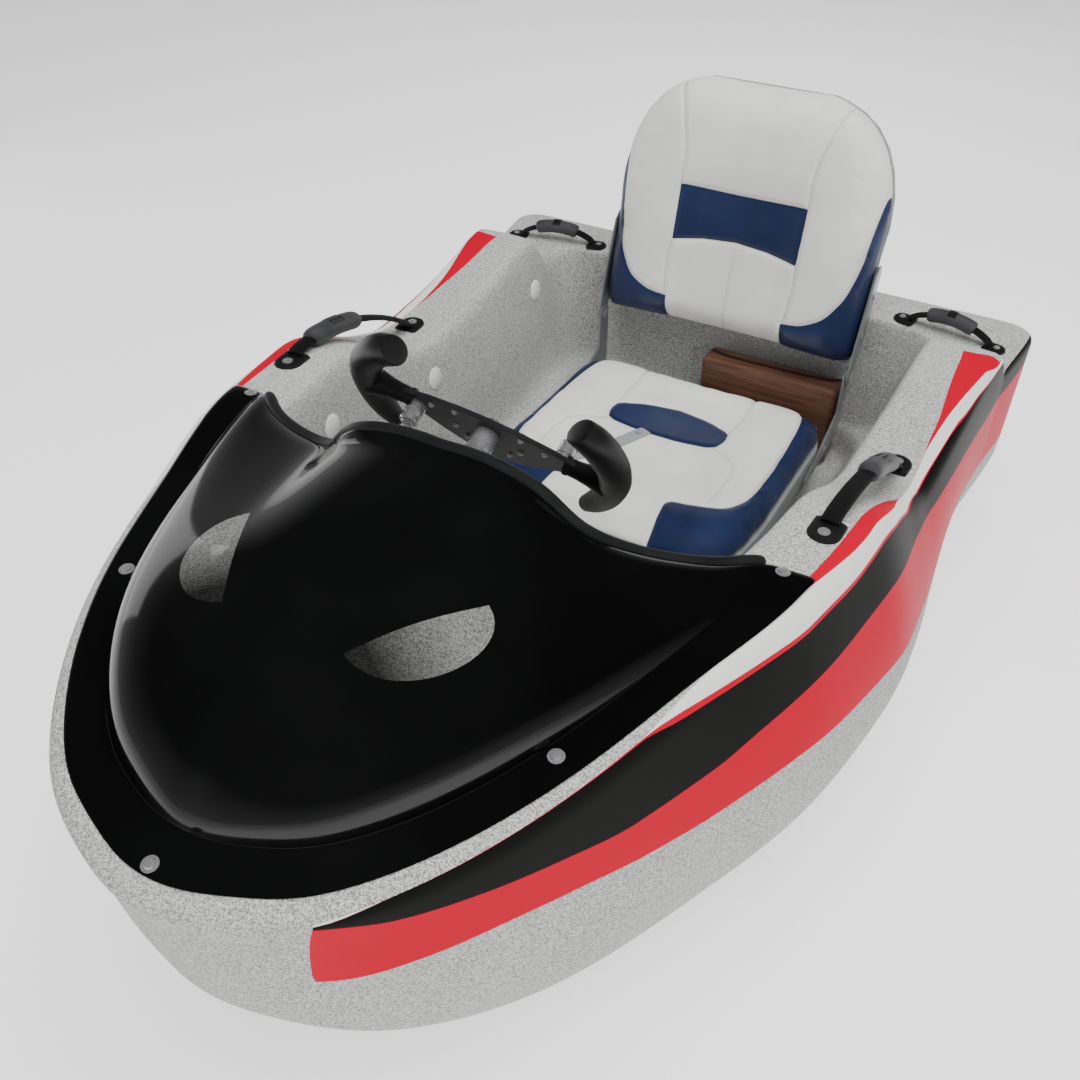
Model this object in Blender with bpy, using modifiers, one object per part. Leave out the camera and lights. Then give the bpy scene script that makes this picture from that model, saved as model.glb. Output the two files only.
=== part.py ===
"""Kart boat: a one-seat powered dinghy with a moulded hull, a smoked bow cowl, a steering yoke,
a folding seat and a swivelling electric drive behind the transom.

Metres, +Z up. Along the boat, y is measured aft from the bow. The empty "boat" then moves everything,
so that the origin lies under the middle of the whole length, with the bow towards -Y.
"""

import math

import bmesh
import bpy
from mathutils import Matrix, Vector

# Clearances
GAP = 0.0003            # between faces that touch
RUNNING = 0.0005        # round a pin or a shaft
SWING = 0.005           # between pieces that move past each other

# Hull
HULL_LENGTH = 1.72
STERN_RADIUS = 0.045
KEEL_DROP = 0.010       # height of the bottom strakes
ROCKER_START = 0.56     # the bottom rises forward of this station
ROCKER = 0.64           # rise per square metre forward of it
FLOOR_Z = 0.055
SKIN = 0.045            # least thickness of the double floor
NOSE_END = 0.31         # stations aft of this are shared by the hull and the cockpit
COCKPIT_FRONT = 0.12
COCKPIT_REAR = HULL_LENGTH - 0.120
COCKPIT_RADIUS = 0.060
COCKPIT_REAR_SLOPE = 0.2    # the rear wall's inset against the side walls'

# Half width of the gunwale: station, half width
HULL_PLAN = ((0.0, 0.0), (0.02, 0.085), (0.046, 0.145), (0.10, 0.208), (0.26, 0.313), (0.44, 0.380),
             (0.62, 0.441), (0.92, 0.480), (1.32, 0.502), (1.52, 0.522), (HULL_LENGTH, 0.552))
# Half width of the cockpit opening: station, half width
COCKPIT_PLAN = ((COCKPIT_FRONT, 0.0), (0.16, 0.118), (0.26, 0.205), (0.44, 0.283), (0.66, 0.337),
                (0.86, 0.362), (1.11, 0.372), (1.31, 0.385), (COCKPIT_REAR, 0.400))
# Height of the gunwale: station, height. It dips beside the seat and humps in front of the stern deck.
SHEER = ((0.0, 0.475), (0.31, 0.512), (0.62, 0.522), (0.74, 0.509), (0.80, 0.509), (0.88, 0.480),
         (0.955, 0.437), (1.02, 0.411), (1.06, 0.395), (1.12, 0.395), (1.27, 0.401), (1.42, 0.420), (1.46, 0.420),
         (1.49, 0.396), (1.51, 0.364), (1.524, 0.353), (HULL_LENGTH, 0.353))
# Outer skin from the bottom up: share of the height, inset (a negative one bulges), rake of the bow, finish
HULL_LEVELS = ((0.00, 0.110, 0.030, "hull"), (0.04, 0.065, 0.030, "hull"), (0.12, 0.005, 0.030, "hull"),
               (0.25, -0.055, 0.030, "hull"), (0.42, -0.080, 0.020, "red"), (0.60, -0.070, 0.015, "black"),
               (0.80, -0.035, 0.010, "white"), (0.93, -0.006, 0.0, "hull"), (0.97, 0.000, 0.0, "hull"),
               (1.00, 0.012, 0.0, "hull"))
# How much of the bulge each station takes
BULGE = ((0.0, 0.55), (0.2, 0.45), (0.5, 0.95), (0.8, 1.05), (0.95, 0.85), (1.2, 0.4), (1.4, 0.15), (1.6, 0.0))
# Cockpit lining from the rim down: share of the height, inset. The step is a ledge along the floor.
COCKPIT_LEVELS = ((1.00, 0.000), (0.965, 0.010), (0.60, 0.030), (0.26, 0.046), (0.21, 0.060), (0.20, 0.090),
                  (0.06, 0.105), (0.00, 0.120))
SIDE_STATIONS = (0.31, 0.38, 0.45, 0.52, 0.59, 0.66, 0.74, 0.80, 0.84, 0.88, 0.92, 0.955, 0.99, 1.02, 1.06,
                 1.12, 1.20, 1.27, 1.34, 1.42, 1.46, 1.49, 1.51, 1.537)
# Across the bottom: share of the half width, drop
STRAKES = ((0.0, 1.0), (0.06, 1.0), (0.11, 0.0), (0.56, 0.0), (0.60, 1.0), (0.70, 1.0), (0.74, 0.0))
NOSE_POINTS = 8
CORNER_POINTS = 5
STRIPE_START = 0.12     # the side stripes begin this far from the bow

# Stern notch for the drive
NOTCH_HALF = 0.13
NOTCH_FRONT = HULL_LENGTH - 0.100
NOTCH_TOP = 0.30

# Bow cowl
COWL_THICK = 0.004
COWL_REAR = 0.66
FLANGE_OUTER = 0.10     # share of the rim's width
FLANGE_INNER = 0.60
SPINE_FRONT = 0.20
SPINE_REAR = 0.54
TRIM_RADIUS = 0.007
TRIM_GAP = 0.002
# Cowl bubble: share of the way to the spine, rise at the nose, amidships and at the rear edge, rear edge moved forward
BUBBLE = ((0.05, 0.012, 0.034, 0.008, 0.010), (0.15, 0.030, 0.056, 0.012, 0.030), (0.33, 0.055, 0.074, 0.018, 0.036),
          (0.515, 0.072, 0.088, 0.030, 0.030), (0.58, 0.078, 0.094, 0.062, 0.040), (0.66, 0.084, 0.098, 0.096, 0.036),
          (0.80, 0.092, 0.102, 0.108, 0.018), (0.92, 0.098, 0.104, 0.112, 0.004))

# Steering
YOKE_Y = 0.655
YOKE_Z = 0.590
YOKE_TILT = 25.0        # the column's axis rises aft by this angle
YOKE_REST = -14.0       # the yoke is parked turned by this angle
SHAFT_RADIUS = 0.009
SHAFT_LENGTH = 0.19
HOUSING_RADIUS = 0.017
HOUSING_FROM = 0.035
HOUSING_LENGTH = 0.135
PLATE_THICK = 0.006
PLATE_HALF = 0.128
BUTTON_RADIUS = 0.011
POST_Y = 0.530
POST_HALF = 0.022
POST_FOOT = 0.055

# Seat
SEAT_FRONT = 0.94
SEAT_REAR = 1.46
SEAT_HALF = 0.252
PAN_BOTTOM = 0.118
CUSHION_THICK = 0.050   # from the pan's top to the cushion's plane
CUSHION_REAR_Z = 0.216
CUSHION_FRONT_Z = 0.262
BASE_HALF = 0.19
HINGE_Y = 1.525
HINGE_Z = 0.262
BACK_LEAN = 14.0
BACK_LOW = 0.040        # along the back from the hinge
BACK_HIGH = 0.474
BACK_FRONT = -0.044
BACK_REAR = 0.022
SHELL_THICK = 0.008
BRACKET_THICK = 0.004
BACK_HALF = SEAT_HALF + BRACKET_THICK + RUNNING
PIN_RADIUS = 0.006

# Drive
SWIVEL_Y = HULL_LENGTH - 0.028
POD_Z = 0.128
POD_RADIUS = 0.040
POD_FRONT = -0.027
POD_REAR = 0.104
LEG_RADIUS = 0.015
PROP_RADIUS = 0.082
HUB_RADIUS = 0.018
HUB_LENGTH = 0.026
GUARD_RADIUS = 0.100
GUARD_WALL = 0.007
GUARD_LENGTH = 0.050
GUARD_START = 0.112
STEER_RATIO = 0.5       # the drive turns by this share of the yoke's angle

DRIVE_REST = math.radians(YOKE_REST * STEER_RATIO)
GUARD_END = GUARD_START + GUARD_LENGTH
TOTAL_LENGTH = SWIVEL_Y + GUARD_END * math.cos(DRIVE_REST) + GUARD_RADIUS * abs(math.sin(DRIVE_REST))

# Colours: red, green, blue, roughness, metallic
FINISHES = {
    "hull": (0.60, 0.60, 0.60, 0.60, 0.0), "red": (0.80, 0.02, 0.04, 0.35, 0.0),
    "black": (0.02, 0.02, 0.02, 0.35, 0.0), "white": (0.88, 0.88, 0.88, 0.35, 0.0),
    "smoke": (0.015, 0.015, 0.017, 0.05, 0.0), "rubber": (0.03, 0.03, 0.03, 0.8, 0.0),
    "steel": (0.75, 0.75, 0.77, 0.25, 1.0), "aluminium": (0.55, 0.56, 0.57, 0.4, 1.0),
    "vinyl": (0.86, 0.86, 0.84, 0.45, 0.0), "shell": (0.42, 0.43, 0.43, 0.5, 0.0),
    "wood": (0.32, 0.17, 0.09, 0.6, 0.0), "webbing": (0.05, 0.05, 0.05, 0.8, 0.0),
}


def clear_scene():
    for obj in list(bpy.data.objects):
        bpy.data.objects.remove(obj)


clear_scene()
PARTS = bpy.data.collections.new("kart boat")
CUTTERS = bpy.data.collections.new("cutters")
for collection in (PARTS, CUTTERS):
    bpy.context.scene.collection.children.link(collection)


def finish(name):
    found = bpy.data.materials.get(name)
    if found:
        return found
    red, green, blue, roughness, metallic = FINISHES[name]
    made = bpy.data.materials.new(name)
    made.use_nodes = True
    shader = made.node_tree.nodes["Principled BSDF"]
    shader.inputs["Base Color"].default_value = (red, green, blue, 1.0)
    shader.inputs["Roughness"].default_value = roughness
    shader.inputs["Metallic"].default_value = metallic
    made.diffuse_color = (red, green, blue, 1.0)
    return made


def empty(name, parent, matrix):
    made = bpy.data.objects.new(name, None)
    PARTS.objects.link(made)
    made.parent = parent
    made.matrix_local = matrix
    return made


BOAT = empty("boat", None, Matrix.Translation((0, -TOTAL_LENGTH / 2, 0)))


def add(name, mesh, finishes, parent=BOAT, matrix=None, cutter=False):
    """A node, or a hidden cutter, from a mesh or a bmesh in its parent's frame."""
    if isinstance(mesh, bmesh.types.BMesh):
        cooked = bpy.data.meshes.new(name)
        mesh.to_mesh(cooked)
        mesh.free()
        mesh = cooked
    obj = bpy.data.objects.new(name, mesh)
    (CUTTERS if cutter else PARTS).objects.link(obj)
    obj.parent = parent
    obj.matrix_local = matrix or Matrix.Identity(4)
    obj.hide_render = cutter
    obj.display_type = "WIRE" if cutter else "TEXTURED"
    for name in finishes.split():
        mesh.materials.append(finish(name))
    mesh.shade_smooth()
    mesh.set_sharp_from_angle(angle=math.radians(35))
    return obj


def modify(obj, kind, **settings):
    modifier = obj.modifiers.new(kind.title(), kind)
    for key, value in settings.items():
        setattr(modifier, key, value)
    return obj


def cut(obj, cutter, operation="DIFFERENCE"):
    return modify(obj, "BOOLEAN", object=cutter, operation=operation)


def box_mesh(low, high):
    mesh = bmesh.new()
    bmesh.ops.create_cube(mesh, size=1.0)
    low, high = Vector(low), Vector(high)
    for vert in mesh.verts:
        vert.co = Vector(((low[i] + high[i]) / 2 + vert.co[i] * (high[i] - low[i])) for i in range(3))
    return mesh


def rod_mesh(start, end, radius, radius_end=None, sides=16):
    """A closed cylinder or cone between two points."""
    start, end = Vector(start), Vector(end)
    mesh = bmesh.new()
    bmesh.ops.create_cone(mesh, cap_ends=True, segments=sides, radius1=radius,
                          radius2=radius if radius_end is None else radius_end, depth=(end - start).length)
    turn = (end - start).to_track_quat("Z", "Y").to_matrix().to_4x4()
    bmesh.ops.transform(mesh, matrix=Matrix.Translation((start + end) / 2) @ turn, verts=mesh.verts)
    return mesh


def turned_mesh(profile, sides=20):
    """A closed body turned about Y from (along, radius) pairs, front to back."""
    mesh = bmesh.new()
    rings = []
    for along, radius in profile:
        rings.append([mesh.verts.new((radius * math.cos(a), along, radius * math.sin(a)))
                      for a in (2 * math.pi * i / sides for i in range(sides))])
    skin(mesh, rings)
    mesh.faces.new(rings[0])
    mesh.faces.new(rings[-1])
    bmesh.ops.recalc_face_normals(mesh, faces=mesh.faces)
    return mesh


def skin(mesh, rings, closed=True, finish_index=None):
    """Quads between neighbouring rings of equal length."""
    for level, (low, high) in enumerate(zip(rings, rings[1:])):
        count = len(low)
        for i in range(count if closed else count - 1):
            j = (i + 1) % count
            face = mesh.faces.new((low[i], low[j], high[j], high[i]))
            if finish_index:
                face.material_index = finish_index(level, low[i], low[j])


def tube_mesh(points, radius, bevel_resolution=2, squash=None):
    """A capped tube along points, as a mesh. squash makes its section flat: half width, half thickness."""
    curve = bpy.data.curves.new("tube", "CURVE")
    curve.dimensions = "3D"
    curve.bevel_depth = radius
    curve.bevel_resolution = bevel_resolution
    curve.use_fill_caps = True
    spline = curve.splines.new("POLY")
    spline.points.add(len(points) - 1)
    for point, place in zip(spline.points, points):
        point.co = (*place, 1.0)
    guide = bpy.data.objects.new("tube", curve)
    PARTS.objects.link(guide)
    bpy.context.view_layer.update()
    made = bpy.data.meshes.new_from_object(guide.evaluated_get(bpy.context.evaluated_depsgraph_get()))
    bpy.data.objects.remove(guide)
    mesh = bmesh.new()
    mesh.from_mesh(made)
    bmesh.ops.remove_doubles(mesh, verts=mesh.verts, dist=1e-5)
    bmesh.ops.recalc_face_normals(mesh, faces=mesh.faces)
    if squash:
        bmesh.ops.scale(mesh, vec=squash, verts=mesh.verts)
    return mesh


def plate_mesh(outline, holes, thick):
    """A flat plate in XY, thick along Z from 0, from an outline and round holes (x, y, radius)."""
    curve = bpy.data.curves.new("plate", "CURVE")
    curve.dimensions = "2D"
    curve.fill_mode = "BOTH"
    curve.extrude = thick / 2
    rounds = [[(x + r * math.cos(a), y + r * math.sin(a)) for a in (2 * math.pi * i / 16 for i in range(16))]
              for x, y, r in holes]
    for ring in [outline, *rounds]:
        spline = curve.splines.new("POLY")
        spline.points.add(len(ring) - 1)
        spline.use_cyclic_u = True
        for point, (x, y) in zip(spline.points, ring):
            point.co = (x, y, 0.0, 1.0)
    guide = bpy.data.objects.new("plate", curve)
    PARTS.objects.link(guide)
    bpy.context.view_layer.update()
    made = bpy.data.meshes.new_from_object(guide.evaluated_get(bpy.context.evaluated_depsgraph_get()))
    bpy.data.objects.remove(guide)
    mesh = bmesh.new()
    mesh.from_mesh(made)
    bmesh.ops.remove_doubles(mesh, verts=mesh.verts, dist=1e-5)
    bmesh.ops.translate(mesh, vec=(0, 0, thick / 2), verts=mesh.verts)
    bmesh.ops.recalc_face_normals(mesh, faces=mesh.faces)
    return mesh


def join(name, meshes, finishes, parent=BOAT, matrix=None):
    """One body: the union of closed meshes that overlap. The first stays the node."""
    body = add(name, meshes[0], finishes, parent, matrix)
    for i, mesh in enumerate(meshes[1:]):
        cut(body, add(f"{name}_add_{i}", mesh, finishes, parent, matrix, cutter=True), "UNION")
    return body


def along(table, x):
    """A smooth value from (x, value) rows, which never overshoots a row."""
    rows = list(table)
    if x <= rows[0][0]:
        return rows[0][1]
    if x >= rows[-1][0]:
        return rows[-1][1]
    slopes = [(b[1] - a[1]) / (b[0] - a[0]) for a, b in zip(rows, rows[1:])]
    tangents = [slopes[0]]
    for a, b in zip(slopes, slopes[1:]):
        tangents.append(0.0 if a * b <= 0 else 2 * a * b / (a + b))
    tangents.append(slopes[-1])
    k = max(i for i, row in enumerate(rows[:-1]) if row[0] <= x)
    (x0, y0), (x1, y1) = rows[k], rows[k + 1]
    h = x1 - x0
    t = (x - x0) / h
    return ((1 + 2 * t) * (1 - t) ** 2 * y0 + t * (1 - t) ** 2 * h * tangents[k]
            + t * t * (3 - 2 * t) * y1 + t * t * (t - 1) * h * tangents[k + 1])


def half_width(plan, y):
    """Widths are read over the root of the distance from the tip, which keeps the nose round."""
    tip = plan[0][0]
    return along([(math.sqrt(row[0] - tip), row[1]) for row in plan], math.sqrt(max(y - tip, 0.0)))


def sheer(y):
    return along(SHEER, y)


def bottom(y):
    return KEEL_DROP + ROCKER * max(ROCKER_START - y, 0.0) ** 2


def floor(y):
    return max(FLOOR_Z, bottom(y) + SKIN - KEEL_DROP)


def half_outline(plan, rear, radius):
    """(x, y) points from the middle of the nose to the middle side of the rear corner."""
    tip = plan[0][0]
    nose = [tip + (NOSE_END - tip) * (i / NOSE_POINTS) ** 2 for i in range(NOSE_POINTS)]
    points = [(half_width(plan, y), y) for y in [*nose, *SIDE_STATIONS]]
    corner_x = half_width(plan, rear - radius) - radius
    for i in range(CORNER_POINTS):
        angle = math.pi / 2 * i / (CORNER_POINTS - 1)
        points.append((corner_x + radius * math.cos(angle), rear - radius + radius * math.sin(angle)))
    return points


def inset_half(points, inset, rake, rear_inset, bulge=((0.0, 1.0), (1.0, 1.0))):
    """The outline drawn in at the sides by inset, at the nose by inset and rake, at the rear by rear_inset.
    A negative inset bulges outward, by the share that bulge gives at each station."""
    widest = max(x for x, _ in points)
    front, rear = points[0][1], points[-1][1]
    new_front, new_rear = front + max(inset, 0.0) + rake, rear - rear_inset
    made = []
    for x, y in points:
        taken = inset if inset > 0 else inset * along(bulge, y)
        made.append((x * (1 - taken / widest), new_front + (y - front) * (new_rear - new_front) / (rear - front)))
    return made


def whole(half):
    """The port half, then the starboard half back to the nose."""
    return [*half, *[(-x, *rest) for x, *rest in reversed(half[1:])]]


HULL_OUTLINE = half_outline(HULL_PLAN, HULL_LENGTH, STERN_RADIUS)
COCKPIT_OUTLINE = half_outline(COCKPIT_PLAN, COCKPIT_REAR, COCKPIT_RADIUS)


def hull_level(share, inset, rake):
    rim = share >= 1.0
    half = inset_half(HULL_OUTLINE, inset, rake, inset if rim else 0.0, BULGE)
    return [(x, y, bottom(y) + (sheer(y) - bottom(y)) * share) for x, y in half]


def cockpit_level(share, inset):
    half = inset_half(COCKPIT_OUTLINE, inset, inset / 2, inset * COCKPIT_REAR_SLOPE)
    return [(x, y, floor(y) + (sheer(y) - floor(y)) * share) for x, y in half]


def close_across(mesh, ring, columns):
    """Fills a level ring with strips from side to side. columns: share of the half width, drop."""
    half = (len(ring) + 1) // 2
    rows = []
    for i in range(1, half):
        port, starboard = ring[i], ring[-i]
        inner = [(share, drop) for share, drop in columns if share > 0]
        shares = [*[(-s, d) for s, d in reversed(inner)], *[c for c in columns if c[0] == 0], *inner]
        middle = [mesh.verts.new((port.co.x * s, port.co.y, port.co.z - d)) for s, d in shares]
        rows.append([starboard, *middle, port])
    for low, high in zip(rows, rows[1:]):
        for i in range(len(low) - 1):
            mesh.faces.new((low[i], low[i + 1], high[i + 1], high[i]))
    first, last = rows[0], rows[-1]
    for i in range(len(first) - 1):
        mesh.faces.new((ring[0], first[i], first[i + 1]))
    return last


def hull():
    mesh = bmesh.new()
    levels = [hull_level(share, inset, rake) for share, inset, rake, _ in HULL_LEVELS]
    levels += [cockpit_level(share, inset) for share, inset in COCKPIT_LEVELS]
    rings = [[mesh.verts.new(p) for p in whole(level)] for level in levels]
    names = ["hull", "red", "black", "white"]
    bands = [names.index(row[3]) for row in HULL_LEVELS]

    def band(level, first, second):
        striped = level < len(bands) and STRIPE_START < min(first.co.y, second.co.y) < HULL_LENGTH - STERN_RADIUS
        return bands[level] if striped else 0

    half = len(HULL_OUTLINE)
    skin(mesh, rings, finish_index=band)
    for ring, columns in ((rings[0], [(s, KEEL_DROP * d) for s, d in STRAKES]), (rings[-1], [(0.0, 0.0)])):
        last = close_across(mesh, ring, columns)
        edge = [v for v in last[1:-1]]
        stern_face = [f for f in mesh.faces if ring[half - 1] in f.verts and ring[half] in f.verts]
        for face in stern_face:
            loop = [v for v in face.verts]
            i = loop.index(ring[half - 1])
            forward = loop[(i + 1) % len(loop)] is ring[half]
            between = list(reversed(edge)) if forward else edge
            at = i + 1 if forward else loop.index(ring[half]) + 1
            new = mesh.faces.new([*loop[:at], *between, *loop[at:]])
            new.material_index = face.material_index
        bmesh.ops.delete(mesh, geom=stern_face, context="FACES_ONLY")
    bmesh.ops.triangulate(mesh, faces=[f for f in mesh.faces if len(f.verts) > 4])
    bmesh.ops.recalc_face_normals(mesh, faces=mesh.faces)
    body = add("hull", mesh, "hull red black white")
    notch = add("notch", box_mesh((-NOTCH_HALF, NOTCH_FRONT, -0.1), (NOTCH_HALF, HULL_LENGTH + 0.1, NOTCH_TOP)),
                "hull", cutter=True)
    cut(body, notch)


def rim_point(i, share, lift):
    """A point on the rim at outline index i, a share of the way in from its outer edge."""
    outer = Vector(hull_level(*HULL_LEVELS[-1][:3])[i])
    inner = Vector(cockpit_level(*COCKPIT_LEVELS[0])[i])
    return outer.lerp(inner, share) + Vector((0, 0, lift))


def three_way(t, start, middle, end):
    """Start at t=0, middle at t=0.5, end at t=1, smooth."""
    return along(((0.0, start), (0.5, middle), (1.0, end)), t)


def cowl_halves():
    """Half rings of the cowl's under side, each from the nose to the rear edge."""
    last = max(i for i, (_, y) in enumerate(HULL_OUTLINE) if y <= COWL_REAR + 1e-9)
    outer = [rim_point(i, FLANGE_OUTER, GAP * 2) for i in range(last + 1)]
    inner = [rim_point(i, FLANGE_INNER, GAP * 2) for i in range(last + 1)]
    halves = [outer, inner]
    for share, nose, middle, rear, forward in BUBBLE:
        half = []
        for i, base in enumerate(inner):
            t = (base.y - inner[0].y) / (inner[-1].y - inner[0].y)
            spine = Vector((0, SPINE_FRONT + (SPINE_REAR - SPINE_FRONT) * t, base.z))
            point = base.lerp(spine, share)
            point.y -= forward * t ** 6
            point.z += three_way(math.sqrt(t), nose, middle, rear)
            half.append(point)
        halves.append(half)
    return halves


def cowl():
    halves = cowl_halves()
    mesh = bmesh.new()
    rings = [[mesh.verts.new(p) for p in whole([tuple(v) for v in half])] for half in halves]
    # The nose is whole and the rear edge is open, so the starboard half is read backwards.
    for low, high in zip(rings, rings[1:]):
        count = len(low)
        rear = (count + 1) // 2 - 1
        for i in range(count):
            if i == rear:
                continue
            j = (i + 1) % count
            mesh.faces.new((low[i], low[j], high[j], high[i]))
    close_across(mesh, rings[-1], [(0.0, -0.001)])
    bmesh.ops.recalc_face_normals(mesh, faces=mesh.faces)
    if sum(f.normal.z for f in mesh.faces) < 0:
        bmesh.ops.reverse_faces(mesh, faces=mesh.faces)
    body = add("cowl", mesh, "smoke")
    modify(body, "SOLIDIFY", thickness=COWL_THICK, offset=1.0, use_even_offset=True)

    inner = halves[2:]
    edge = []
    for half in inner:
        end, before = half[-1], half[-2]
        edge.append((end, (end - before).normalized()))
    line = [(Vector((-p.x, p.y, p.z)), Vector((-o.x, o.y, o.z))) for p, o in edge] + list(reversed(edge))
    points = []
    for i, (place, out) in enumerate(line):
        ahead, behind = line[min(i + 1, len(line) - 1)][0], line[max(i - 1, 0)][0]
        tangent = (ahead - behind).normalized()
        out = (out - tangent * out.dot(tangent)).normalized()
        up = tangent.cross(out)
        up = up if up.z > 0 else -up
        points.append(place + out * (TRIM_RADIUS + TRIM_GAP) + up * COWL_THICK / 2)
    add("cowl_trim", tube_mesh(points, TRIM_RADIUS), "rubber")


def yoke_frame():
    """Local Z points forward and down along the column; local X is to port; the origin is the yoke's middle."""
    tilt = math.radians(YOKE_TILT)
    aft = Vector((0, math.cos(tilt), math.sin(tilt)))
    up = Vector((0, -math.sin(tilt), math.cos(tilt)))
    basis = Matrix((Vector((1, 0, 0)), up, Vector((1, 0, 0)).cross(up))).transposed().to_4x4()
    return Matrix.Translation((0, YOKE_Y, YOKE_Z)) @ basis, aft


YOKE_MATRIX, YOKE_AXIS = yoke_frame()


def steering():
    column = empty("column", BOAT, YOKE_MATRIX)
    yoke = empty("yoke", BOAT, YOKE_MATRIX @ Matrix.Rotation(math.radians(YOKE_REST), 4, "Z"))
    half = PLATE_HALF
    # The plate's outline, port half from the top: across, up
    corners = ((0.0, 0.040), (0.050, 0.036), (half, 0.012), (half, -0.014), (0.060, -0.030), (0.0, -0.036))
    outline = [*corners, *[(-x, y) for x, y in reversed(corners[1:-1])]]
    bore = SHAFT_RADIUS * 0.5
    add("yoke_plate", plate_mesh(outline, [(0, 0, bore + RUNNING)], PLATE_THICK), "black", yoke)

    # Each grip is a horn: across, up, forward, radius
    horn = ((0.142, 0.098, 0.004, 0.0205), (0.160, 0.080, 0.003, 0.0205), (0.174, 0.050, 0.003, 0.0205),
            (0.178, 0.015, 0.003, 0.0205), (0.172, -0.020, 0.003, 0.019), (0.158, -0.052, 0.003, 0.016),
            (0.140, -0.076, 0.003, 0.011))
    for side, word in ((1, "port"), (-1, "starboard")):
        body = horn_mesh([(side * x, y, z, r) for x, y, z, r in horn])
        socket = rod_mesh((side * (half + GAP), 0.0, 0.003), (side * 0.165, 0.0, 0.003), 0.013, 0.016)
        join(f"grip_{word}", [body, socket], "rubber", yoke)
    # The starboard button stands out forward and the port one aft, each on its own face of the plate
    front, back = PLATE_THICK + GAP, -GAP
    add("button_starboard", rod_mesh((-0.104, 0.002, front), (-0.104, 0.002, front + 0.030), BUTTON_RADIUS), "steel", yoke)
    add("button_port", rod_mesh((0.104, 0.002, back - 0.030), (0.104, 0.002, back), BUTTON_RADIUS), "steel", yoke)

    start = PLATE_THICK + GAP
    nose = rod_mesh((0, 0, -0.012), (0, 0, start + 0.004), bore)
    nut = rod_mesh((0, 0, -0.012), (0, 0, -GAP), bore * 2, sides=6)
    shaft = rod_mesh((0, 0, start), (0, 0, SHAFT_LENGTH), SHAFT_RADIUS)
    collar = rod_mesh((0, 0, start), (0, 0, HOUSING_FROM - RUNNING), SHAFT_RADIUS * 1.8)
    tail = rod_mesh((0, 0, HOUSING_FROM + HOUSING_LENGTH + RUNNING), (0, 0, SHAFT_LENGTH), SHAFT_RADIUS * 1.5)
    join("steering_shaft", [shaft, nose, nut, collar, tail], "steel", yoke)

    housing = add("column_housing", rod_mesh((0, 0, HOUSING_FROM), (0, 0, HOUSING_FROM + HOUSING_LENGTH),
                                             HOUSING_RADIUS), "aluminium", column)
    cut(housing, add("column_bore", rod_mesh((0, 0, 0), (0, 0, 1), SHAFT_RADIUS + RUNNING), "steel", column,
                     cutter=True))
    # The post's head is split round the housing where its middle passes over the post
    drop = (YOKE_Y - POST_Y) / math.cos(math.radians(YOKE_TILT))
    head_z = YOKE_Z - drop * math.sin(math.radians(YOKE_TILT))
    head_half = HOUSING_RADIUS + 0.012
    post = box_mesh((-POST_HALF, POST_Y - POST_HALF, FLOOR_Z + GAP), (POST_HALF, POST_Y + POST_HALF, head_z))
    foot = box_mesh((-POST_FOOT, POST_Y - POST_FOOT, FLOOR_Z + GAP), (POST_FOOT, POST_Y + POST_FOOT, FLOOR_Z + 0.008))
    body = join("steering_post", [post, foot], "black")
    head = add("post_head", box_mesh((-head_half, -head_half, drop - 0.032), (head_half, head_half, drop + 0.032)),
               "black", column, cutter=True)
    cut(body, head, "UNION")
    cut(body, add("head_bore", rod_mesh((0, 0, -0.5), (0, 0, 0.5), HOUSING_RADIUS + GAP), "black", column, cutter=True))


def horn_mesh(rows, sides=14):
    """A closed tube whose radius changes along it: across, up, forward, radius."""
    mesh = bmesh.new()
    rings = []
    places = [Vector(row[:3]) for row in rows]
    for i, (place, row) in enumerate(zip(places, rows)):
        tangent = (places[min(i + 1, len(places) - 1)] - places[max(i - 1, 0)]).normalized()
        forward = Vector((0, 0, 1))
        side = tangent.cross(forward).normalized()
        rings.append([mesh.verts.new(place + row[3] * (side * math.cos(a) + forward * math.sin(a)))
                      for a in (2 * math.pi * k / sides for k in range(sides))])
    skin(mesh, rings)
    mesh.faces.new(rings[0])
    mesh.faces.new(rings[-1])
    bmesh.ops.recalc_face_normals(mesh, faces=mesh.faces)
    return mesh


def pad_mesh(stations, columns, half_fn, top_fn, base_fn):
    """A closed pad: stations run along Y, columns are shares of the half width from -1 to 1."""
    mesh = bmesh.new()
    tops, bases = [], []
    for y in stations:
        width = half_fn(y)
        tops.append([mesh.verts.new((s * width, y, top_fn(s, y))) for s in columns])
        bases.append([mesh.verts.new((s * width, y, base_fn(s, y))) for s in columns])
    for grid in (tops, bases):
        skin(mesh, grid, closed=False)
    rim_top = edge_loop(tops)
    rim_base = edge_loop(bases)
    skin(mesh, [rim_top, rim_base])
    bmesh.ops.recalc_face_normals(mesh, faces=mesh.faces)
    return mesh


def edge_loop(grid):
    return [*grid[0], *[row[-1] for row in grid[1:]], *reversed(grid[-1][:-1]), *[row[0] for row in reversed(grid[1:-1])]]


def cushion_plane(y):
    return CUSHION_FRONT_Z + (CUSHION_REAR_Z - CUSHION_FRONT_Z) * (y - SEAT_FRONT) / (SEAT_REAR - SEAT_FRONT)


def pan_top(y):
    return cushion_plane(y) - CUSHION_THICK


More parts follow.
